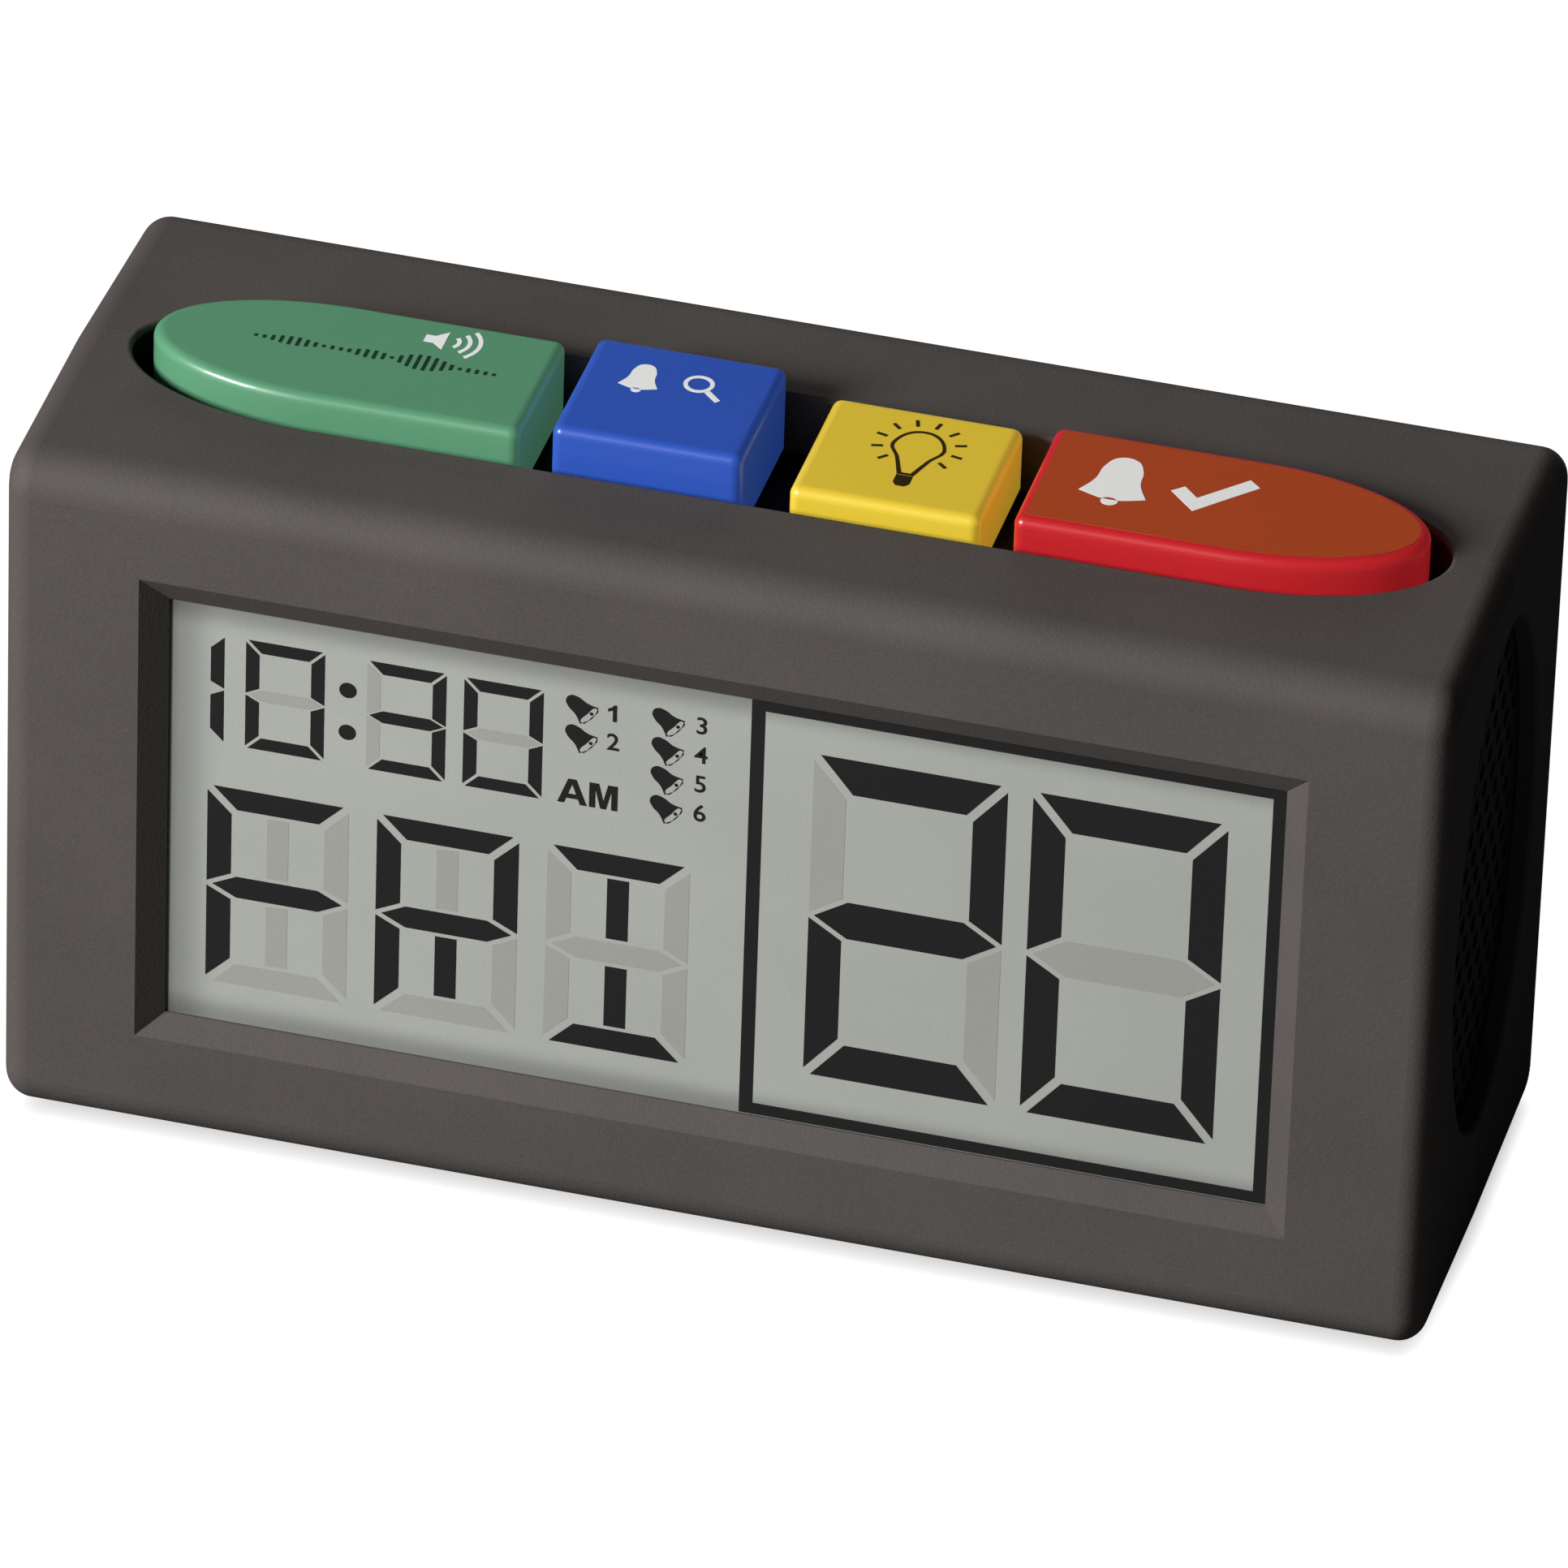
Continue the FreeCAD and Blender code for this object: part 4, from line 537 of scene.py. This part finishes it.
def flat_curve(name, depth):
    """An empty flat curve that fills its outlines; an outline inside another is a hole in it."""
    curve = bpy.data.curves.new(name, "CURVE")
    curve.dimensions = "2D"
    curve.fill_mode = "BOTH"
    curve.extrude = depth / 2
    return curve


def flat_shape(name, outlines, depth, place):
    """A thin solid inside closed outlines of x and y."""
    curve = flat_curve(name, depth)
    for outline in outlines:
        spline = curve.splines.new("POLY")
        spline.points.add(len(outline) - 1)
        for point, (x, y) in zip(spline.points, outline):
            point.co = (x, y, 0, 1)
        spline.use_cyclic_u = True
    return made_mesh(bpy.data.objects.new(name, curve), place)


def bezier_shape(name, outlines, depth, place):
    """As flat_shape, from rows of x, y and whether the outline is smooth there."""
    curve = flat_curve(name, depth)
    curve.resolution_u = 8
    for outline in outlines:
        spline = curve.splines.new("BEZIER")
        spline.bezier_points.add(len(outline) - 1)
        for point, (x, y, smooth) in zip(spline.bezier_points, outline):
            point.co = (x, y, 0)
            point.handle_left_type = point.handle_right_type = "AUTO" if smooth else "VECTOR"
        spline.use_cyclic_u = True
    return made_mesh(bpy.data.objects.new(name, curve), place)


def written(name, body, size, x, y, depth, place, weight):
    """A figure or a mark in the built-in type, centred on a place."""
    text = bpy.data.curves.new(name, "FONT")
    text.body = body
    text.size = size
    text.align_x = "CENTER"
    text.align_y = "CENTER"
    text.extrude = depth / 2
    text.offset = weight
    item = bpy.data.objects.new(name, text)
    return made_mesh(item, place @ Matrix.Translation((x, y, 0)))


def moved(outline, x, y):
    return [(x + a, y + b) for a, b in outline]


def ring_outline(x, y, radius, point_count=40):
    """A circle as an outline."""
    turns = [math.tau * number / point_count for number in range(point_count)]
    return [(x + radius * math.cos(turn), y + radius * math.sin(turn)) for turn in turns]


def arc_outline(x, y, outer, inner, middle_turn, half_turn, step_count):
    """A strip along an arc, each half of it in a number of steps."""
    turns = [math.radians(middle_turn + half_turn * (number / step_count - 1))
             for number in range(2 * step_count + 1)]
    far = [(x + outer * math.cos(t), y + outer * math.sin(t)) for t in turns]
    near = [(x + inner * math.cos(t), y + inner * math.sin(t)) for t in reversed(turns)]
    return far + near


def stroke(start, end, width):
    """A straight bar between two points."""
    along = (Vector(end) - Vector(start)).normalized() * width / 2
    side = Vector((-along.y, along.x))
    return [tuple(Vector(start) - side), tuple(Vector(end) - side),
            tuple(Vector(end) + side), tuple(Vector(start) + side)]


def round_bezier(x, y, radius_x, radius_y=None):
    """An ellipse or a circle as a smooth outline of four points."""
    radius_y = radius_y or radius_x
    return [(x + radius_x, y, True), (x, y + radius_y, True), (x - radius_x, y, True),
            (x, y - radius_y, True)]


def turned_bezier(outline, degrees, x, y):
    """A smooth outline turned about its own zero, then moved."""
    turn = Matrix.Rotation(math.radians(degrees), 2)
    return [(*(turn @ Vector((a, b)) + Vector((x, y))), smooth) for a, b, smooth in outline]


def joined(name, pieces, body, material):
    """Join pieces into one that rides on a body."""
    all_off()
    for piece in pieces:
        piece.select_set(True)
    bpy.context.view_layer.objects.active = pieces[0]
    if len(pieces) > 1:
        bpy.ops.object.join()
    piece = bpy.context.view_layer.objects.active
    piece.name = name
    piece.data.materials.clear()
    piece.data.materials.append(material)
    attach(piece, body)


# Display

def display_place(depth):
    """Turn a drawing in millimetres to face the front of the display glass."""
    low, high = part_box("lcd_panel")
    spot = Vector((low.x + WINDOW_LAP * MM, low.y - depth * MM / 2, high.z - WINDOW_LAP * MM))
    return Matrix.Translation(spot) @ Matrix.Rotation(math.radians(90), 4, "X") @ Matrix.Scale(MM, 4)


def segment_outlines(left, top, width, height, bar, cross, middle, gap):
    """The segments of one figure: bar and cross are the widths of upright and level ones.

    Letters name them as on any such display: a is the top one, then clockwise, g the middle.
    """
    split = gap * math.sqrt(0.5)
    reach = split * bar / middle
    half = height / 2

    def figure(points):
        return [(left + x, -(top + half - y)) for x, y in points]

    def mirror(points):
        return [(width - x, y) for x, y in points]

    def flip(points):
        return [(x, -y) for x, y in points]

    level = [(split, half), (width - split, half), (width - bar - split, half - cross),
             (bar + split, half - cross)]
    upright = [(0, half - split), (bar, half - cross - split), (bar, middle / 2 + split / 2),
               (0, split / 2)]
    across = [(reach, 0), (bar + reach, middle / 2), (width - bar - reach, middle / 2),
              (width - reach, 0), (width - bar - reach, -middle / 2), (bar + reach, -middle / 2)]
    return {"a": figure(level), "b": figure(mirror(upright)), "c": figure(mirror(flip(upright))),
            "d": figure(flip(level)), "e": figure(flip(upright)), "f": figure(upright),
            "g": figure(across)}


def sorted_figures(figures, lit_by_figure):
    """The lit and the faint segments of some figures."""
    lit = []
    faint = []
    for outlines, letters in zip(figures, lit_by_figure):
        for letter, outline in outlines.items():
            (lit if letter in letters else faint).append(outline)
    return lit, faint


def time_figures():
    """Four figures, the first with only its right-hand segments."""
    figures = [
        segment_outlines(left, TIME_TOP, TIME_WIDTH, TIME_HEIGHT, TIME_BAR, TIME_BAR, TIME_BAR, TIME_GAP)
        for left in TIME_LEFTS]
    figures[0] = {letter: figures[0][letter] for letter in TIME_LIT[0]}
    return figures


def day_figures():
    """Three letters, each with an upright bar in the upper and the lower half."""
    figures = []
    middle = DAY_TOP + DAY_HEIGHT / 2
    inner_end = (DAY_BAR + DAY_GAP) / 2
    outer_end = DAY_HEIGHT / 2 - DAY_BAR - DAY_GAP / 2
    for left in DAY_LEFTS:
        outlines = segment_outlines(left, DAY_TOP, DAY_WIDTH, DAY_HEIGHT, DAY_BAR, DAY_BAR, DAY_BAR, DAY_GAP)
        x = left + DAY_WIDTH / 2
        for letter, sign in (("j", -1), ("k", 1)):
            outlines[letter] = stroke((x, -middle - sign * inner_end), (x, -middle - sign * outer_end),
                                      DAY_MIDDLE_BAR)
        figures.append(outlines)
    return figures


def date_figures():
    return [
        segment_outlines(left, DATE_TOP, DATE_WIDTH, DATE_HEIGHT, DATE_BAR, DATE_CROSS, DATE_MIDDLE, DATE_GAP)
        for left in DATE_LEFTS]


def display_figures():
    """The time, the weekday and the date, with their unlit segments faint."""
    time, faint_time = sorted_figures(time_figures(), TIME_LIT)
    colon = [ring_outline(COLON_X, -y, COLON_RADIUS) for y in COLON_DOTS]
    date, faint_date = sorted_figures(date_figures(), DATE_LIT)
    day, faint_day = sorted_figures(day_figures(), DAY_LIT)
    for name, outlines, depth, ink in (
            ("time_figures", time + colon, INK_DEPTH, segment_ink),
            ("date_figures", date, INK_DEPTH, segment_ink),
            ("day_figures", day, INK_DEPTH, segment_ink),
            ("faint_segments", faint_time + faint_date + faint_day, GHOST_DEPTH, ghost_ink)):
        shape = flat_shape(name, outlines, depth, display_place(depth))
        joined(name, [shape], "case", ink)


def display_border():
    """The dark printed frame round the date."""
    right = WINDOW_WIDTH - BORDER_EDGE
    bottom = BORDER_EDGE - WINDOW_HEIGHT
    outer = [(BORDER_LEFT, -BORDER_EDGE), (right, -BORDER_EDGE), (right, bottom), (BORDER_LEFT, bottom)]
    left = BORDER_LEFT + BORDER_BAR
    right = WINDOW_WIDTH - BORDER_BAR
    bottom = BORDER_BAR - WINDOW_HEIGHT
    inner = [(left, -BORDER_BAR), (right, -BORDER_BAR), (right, bottom), (left, bottom)]
    shape = flat_shape("date_border", [outer, inner], INK_DEPTH, display_place(INK_DEPTH))
    joined("date_border", [shape], "case", segment_ink)


def tilted_bell(x, y):
    """A small bell with an open mouth and a clapper in it."""
    body = [(a * BELL_MOUTH, b * BELL_HEIGHT, smooth) for a, b, smooth in BELL_SHARES]
    mouth = round_bezier(0, 0, BELL_MOUTH * MOUTH_SHARES[0], BELL_OPEN * MOUTH_SHARES[1])
    clapper = round_bezier(BELL_MOUTH * SIDE_CLAPPER[0], 0, BELL_OPEN * SIDE_CLAPPER[1])
    return [turned_bezier(outline, BELL_TILT, x, y) for outline in (body, mouth, clapper)]


def display_marks():
    """Alarm bells with their numbers, and the morning mark."""
    place = display_place(INK_DEPTH)
    bells = []
    marks = []
    for x, tops, number_x, numbers in BELL_COLUMNS:
        for top, number in zip(tops, numbers):
            y = -(top + BELL_DROP)
            bells += tilted_bell(x + BELL_SHIFT[0], y + BELL_SHIFT[1])
            if number == "1":
                one = moved(NUMBER_ONE, number_x, y + NUMBER_RISE)
                marks.append(flat_shape("mark_1", [one], INK_DEPTH, place))
            else:
                marks.append(written(f"mark_{number}", number, NUMBER_SIZE, number_x, y + NUMBER_RISE,
                                     INK_DEPTH, place, NUMBER_WEIGHT))
    letters = [moved(outline, MARK_LEFT, MARK_BASE) for outline in (LETTER_A, LETTER_A_HOLE)]
    letters.append(moved(LETTER_M, MARK_LEFT + MARK_STEP, MARK_BASE))
    marks.append(flat_shape("morning_mark", letters, INK_DEPTH, place))
    shape = bezier_shape("alarm_bells", bells, INK_DEPTH, place)
    joined("alarm_bells", [shape], "case", segment_ink)
    joined("alarm_marks", marks, "case", segment_ink)


# Signs on the top keys

def key_place(node, lift=0.0):
    """Lay a drawing in millimetres on a key's top, about the key's middle."""
    low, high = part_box(node)
    middle = (low + high) / 2
    spot = Vector((middle.x, middle.y, high.z + (PRINT_DEPTH / 2 + lift) * MM))
    return Matrix.Translation(spot) @ Matrix.Scale(MM, 4)


def upright_bell(x, y, height):
    """A plain bell for a key, its middle at a place."""
    mouth = BELL_MOUTH * height / BELL_HEIGHT
    body = [(x + a * mouth, y + (b - BELL_MIDDLE) * height, smooth) for a, b, smooth in BELL_SHARES]
    drop, wide, tall = (share * height for share in HUNG_CLAPPER)
    clapper = round_bezier(x, y - drop, wide, tall)
    return [body, clapper]


def talk_print():
    """A loudspeaker with sound arcs over a row of sound bars."""
    place = key_place("talk_key")
    outlines = [TALK_HORN]
    for radius in TALK_ARC_RADII:
        inner = radius - TALK_ARC_WIDTH
        outlines.append(arc_outline(TALK_ARC_MIDDLE, 0, radius, inner, 0, TALK_ARC_TURN, 6))
    outlines = [moved(outline, *TALK_SIGN) for outline in outlines]
    shape = flat_shape("talk_sign", outlines, PRINT_DEPTH, place)
    joined("talk_sign", [shape], "talk_key_body", white_ink)
    bars = []
    for number in range(BAR_COUNT):
        share = number / (BAR_COUNT - 1)
        wave = math.sin(share * BAR_WAVES[0]) * math.cos(share * BAR_WAVES[1])
        swing = abs(wave) * math.sin(math.pi * share)
        bar_x = BARS_LEFT + BARS_LENGTH * share
        reach = BAR_LEAST + BAR_SWING * swing
        bars.append(stroke((bar_x, BARS_Y - reach), (bar_x, BARS_Y + reach), BAR_WIDTH))
    shape = flat_shape("talk_bars", bars, PRINT_DEPTH, place)
    joined("talk_bars", [shape], "talk_key_body", dark_ink)


def check_print():
    """A bell and a magnifier to read the alarms."""
    place = key_place("alarm_check_key")
    bell = bezier_shape("check_bell", upright_bell(*CHECK_BELL), PRINT_DEPTH, place)
    rings = [ring_outline(*CHECK_GLASS, radius) for radius in CHECK_GLASS_RADII]
    ring = flat_shape("check_ring", rings, PRINT_DEPTH, place)
    handle = moved(stroke(*CHECK_HANDLE, CHECK_HANDLE_WIDTH), *CHECK_GLASS)
    handle = flat_shape("check_handle", [handle], PRINT_DEPTH, place)
    joined("check_sign", [bell, ring, handle], "alarm_check_key_body", white_ink)


def bulb_outline(inset, waist_drop):
    """The glass of a bulb, less an inset."""
    x, y = BULB
    wide = BULB_RADIUS - inset
    waist = BULB_WAIST - inset
    neck = BULB_NECK - inset
    foot = y - BULB_HEIGHT + inset
    low = y - waist_drop
    return [(x, y + wide, True), (x - wide, y, True), (x - waist, low, True), (x - neck, foot, False),
            (x + neck, foot, False), (x + waist, low, True), (x + wide, y, True)]


def light_print():
    """A lamp bulb with rays."""
    place = key_place("light_key")
    glass = [bulb_outline(0.0, BULB_WAIST_DROPS[0]), bulb_outline(BULB_LINE, BULB_WAIST_DROPS[1])]
    bulb = bezier_shape("bulb_line", glass, PRINT_DEPTH, place)
    cap = flat_shape("bulb_cap", [moved(BULB_CAP, *BULB)], PRINT_DEPTH, place)
    rays = []
    for number in range(RAY_COUNT):
        turn = math.radians(RAY_START + RAY_SWEEP * number / (RAY_COUNT - 1))
        way = Vector((math.cos(turn), math.sin(turn)))
        near, far = (Vector(BULB) + way * reach for reach in RAY_REACH)
        rays.append(stroke(near, far, BULB_LINE))
    shape = flat_shape("bulb_rays", rays, PRINT_DEPTH, place)
    joined("light_sign", [bulb, cap, shape], "light_key_body", brown_ink)


def acknowledge_print():
    """A rust-coloured field with a bell and a check mark."""
    low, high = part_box("acknowledge_key")
    half_x = (high.x - low.x) / 2 / MM
    half_y = (high.y - low.y) / 2 / MM - FIELD_INSET
    left = FIELD_INSET - half_x
    bow = FIELD_BOW - FIELD_INSET
    turns = [math.radians(90 * (1 - number / FIELD_STEPS)) for number in range(2 * FIELD_STEPS + 1)]
    outline = [(half_x - FIELD_BOW + bow * math.cos(t), half_y * math.sin(t)) for t in turns]
    outline += [(left, -half_y), (left, half_y)]
    field = flat_shape("acknowledge_field", [outline], PRINT_DEPTH, key_place("acknowledge_key"))
    joined("acknowledge_field", [field], "acknowledge_key_body", rust_ink)
    place = key_place("acknowledge_key", lift=PRINT_DEPTH)
    bell = bezier_shape("acknowledge_bell", upright_bell(*ACKNOWLEDGE_BELL), PRINT_DEPTH, place)
    tick = flat_shape("acknowledge_tick", [ACKNOWLEDGE_TICK], PRINT_DEPTH, place)
    joined("acknowledge_sign", [bell, tick], "acknowledge_key_body", white_ink)


# Signs at the rear

def rear_place(node, x=None, z=None):
    """Lay a drawing in millimetres on a piece's rear face, centred there or at a place."""
    low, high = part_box(node)
    middle = (low + high) / 2
    spot = Vector((middle.x if x is None else x, high.y + PRINT_DEPTH / 2 * MM, middle.z if z is None else z))
    turn = Matrix.Rotation(math.pi, 4, "Z") @ Matrix.Rotation(math.radians(90), 4, "X")
    return Matrix.Translation(spot) @ turn @ Matrix.Scale(MM, 4)


def clock_sign(place):
    """A dial ring with two hands."""
    rings = [ring_outline(0, 0, radius) for radius in DIAL_RADII]
    return [flat_shape("dial_ring", rings, PRINT_DEPTH, place),
            flat_shape("dial_hands", [DIAL_HANDS], PRINT_DEPTH, place)]


def minus_sign(place):
    bar = stroke((-SIGN_ARM, 0), (SIGN_ARM, 0), 2 * SIGN_HALF)
    return [flat_shape("bar", [bar], PRINT_DEPTH, place)]


def plus_sign(place):
    arm, half = SIGN_ARM, SIGN_HALF
    cross = [(half, half), (half, arm), (-half, arm), (-half, half), (-arm, half), (-arm, -half),
             (-half, -half), (-half, -arm), (half, -arm), (half, -half), (arm, -half), (arm, half)]
    return [flat_shape("cross", [cross], PRINT_DEPTH, place)]


def bell_sign(place):
    return [bezier_shape("bell", upright_bell(0, 0, REAR_BELL), PRINT_DEPTH, place)]


def bell_on_sign(place):
    """A bell with a ring arc on each side."""
    arcs = [arc_outline(0, 0, *RINGING_RADII, side, RINGING_TURN, 4) for side in (0, 180)]
    return [bezier_shape("bell", upright_bell(0, 0, RINGING_BELL), PRINT_DEPTH, place),
            flat_shape("arcs", arcs, PRINT_DEPTH, place)]


def hours_sign(place):
    return [written("hours", "12/24", HOURS_SIZE, 0, 0, PRINT_DEPTH, place, HOURS_WEIGHT)]


REAR_SIGNS = {
    "set_time_key": clock_sign, "minus_key": minus_sign, "plus_key": plus_sign,
    "set_alarm_key": bell_sign, "alarm_on_key": bell_on_sign, "hour_format_key": hours_sign}


def rear_prints():
    """Signs on the setting keys, a loudness wedge by the slider and an arrow on the door."""
    for node, sign in REAR_SIGNS.items():
        joined(f"{node}_sign", sign(rear_place(node)), f"{node}_body", white_ink)
    low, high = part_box("volume_slider")
    place = rear_place("control_panel", (low.x + high.x) / 2, low.z - WEDGE_DROP)
    wedge = flat_shape("loudness_wedge", [WEDGE], PRINT_DEPTH, place)
    joined("loudness_wedge", [wedge], "case", white_ink)
    place = rear_place("battery_door", z=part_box("battery_door")[0].z + DOOR_ARROW_LIFT)
    arrow = flat_shape("door_arrow", [DOOR_ARROW], DOOR_ARROW_DEPTH, place)
    joined("door_arrow", [arrow], "battery_door_body", FINISHES["door_plastic"])


# Return springs

PRESSED = {"talk_spring": "talk_press", "alarm_check_spring": "alarm_check_press",
           "light_spring": "light_press", "acknowledge_spring": "acknowledge_press"}


def return_springs():
    """Copies of the top keys' springs, with their points merged, riding on the case in place of the
    originals.
    """
    for node, joint in PRESSED.items():
        spring = nodes[node].copy()
        spring.data = nodes[node].data.copy()
        spring.name = f"{node}_coil"
        bpy.context.scene.collection.objects.link(spring)
        all_off()
        spring.select_set(True)
        bpy.context.view_layer.objects.active = spring
        bpy.ops.object.mode_set(mode="EDIT")
        bpy.ops.mesh.select_all(action="SELECT")
        bpy.ops.mesh.remove_doubles(threshold=SAME_POINT)
        bpy.ops.object.mode_set(mode="OBJECT")
        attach(spring, "case")
        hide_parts(node)
        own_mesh(spring)


# Floor and light

def seen_directly(tree):
    """One on rays that come straight from the camera or through something clear."""
    path = add(tree, "ShaderNodeLightPath")
    return math_node(tree, "MAXIMUM", path.outputs["Is Camera Ray"], path.outputs["Is Transmission Ray"])


def make_floor():
    """A white floor with a soft shade close to the clock."""
    all_off()
    bpy.ops.mesh.primitive_plane_add(size=FLOOR_SIZE, location=(0, 0, 0))
    floor = bpy.context.object
    floor.name = "floor"
    material, tree, shader = blank_material("pale_floor")
    shader.inputs["Base Color"].default_value = (FLOOR_GREY, FLOOR_GREY, FLOOR_GREY, 1.0)
    shader.inputs["Roughness"].default_value = 0.9
    nearness = add(tree, "ShaderNodeAmbientOcclusion", samples=8, inputs={"Distance": CONTACT_REACH})
    open_share = math_node(tree, "POWER", nearness.outputs["AO"], CONTACT_POWER)
    glow = math_node(tree, "MULTIPLY", seen_directly(tree), open_share)
    tree.links.new(math_node(tree, "MULTIPLY", glow, FLOOR_GLOW), shader.inputs["Emission Strength"])
    shader.inputs["Emission Color"].default_value = (1.0, 1.0, 1.0, 1.0)
    floor.data.materials.append(material)
    return floor


def make_world():
    """A world seen as white, which gives little light of its own."""
    world = bpy.data.worlds.new("studio")
    world.use_nodes = True
    tree = world.node_tree
    background = tree.nodes["Background"]
    background.inputs["Color"].default_value = (1.0, 1.0, 1.0, 1.0)
    lit = math_node(tree, "MULTIPLY", seen_directly(tree), 1.0 - WORLD_LIGHT)
    tree.links.new(math_node(tree, "ADD", lit, WORLD_LIGHT), background.inputs["Strength"])
    bpy.context.scene.world = world


def area_light(name, azimuth, elevation, distance, size, power, shine=True):
    """A square light that looks at the clock from an angle."""
    lamp = bpy.data.objects.new(name, bpy.data.lights.new(name, "AREA"))
    lamp.data.size = size
    lamp.data.energy = power
    a, e = math.radians(azimuth), math.radians(elevation)
    back = Vector((math.sin(a) * math.cos(e), -math.cos(a) * math.cos(e), math.sin(e)))
    lamp.location = AIM + back * distance
    lamp.visible_glossy = shine
    lamp.rotation_mode = "QUATERNION"
    lamp.rotation_quaternion = (-back).to_track_quat("-Z", "Y")
    bpy.context.scene.collection.objects.link(lamp)
    return lamp


def collected(name, pieces):
    """A collection that isn't in the scene, for a lamp's choice of pieces."""
    group = bpy.data.collections.new(name)
    for piece in pieces:
        group.objects.link(piece)
    return group


def light_key_ends(floor):
    """A lamp from the right for the ends of the top keys alone, which the case doesn't shade."""
    lamp = area_light("key_end_light", *KEY_END_LAMP, shine=False)
    keys = [nodes[node] for node in ("talk_key", "alarm_check_key", "light_key", "acknowledge_key")]
    lamp.light_linking.receiver_collection = collected("lit_keys", keys)
    lamp.light_linking.blocker_collection = collected("shading_floor", [floor])


make_camera()
display_figures()
display_border()
display_marks()
talk_print()
check_print()
light_print()
acknowledge_print()
rear_prints()
return_springs()
studio_floor = make_floor()
make_world()
area_light("key_light", *KEY_LAMP)
area_light("fill_light", *FILL_LAMP)
area_light("rear_light", *REAR_LAMP, shine=False)
light_key_ends(studio_floor)
bpy.context.scene.view_settings.view_transform = "Standard"
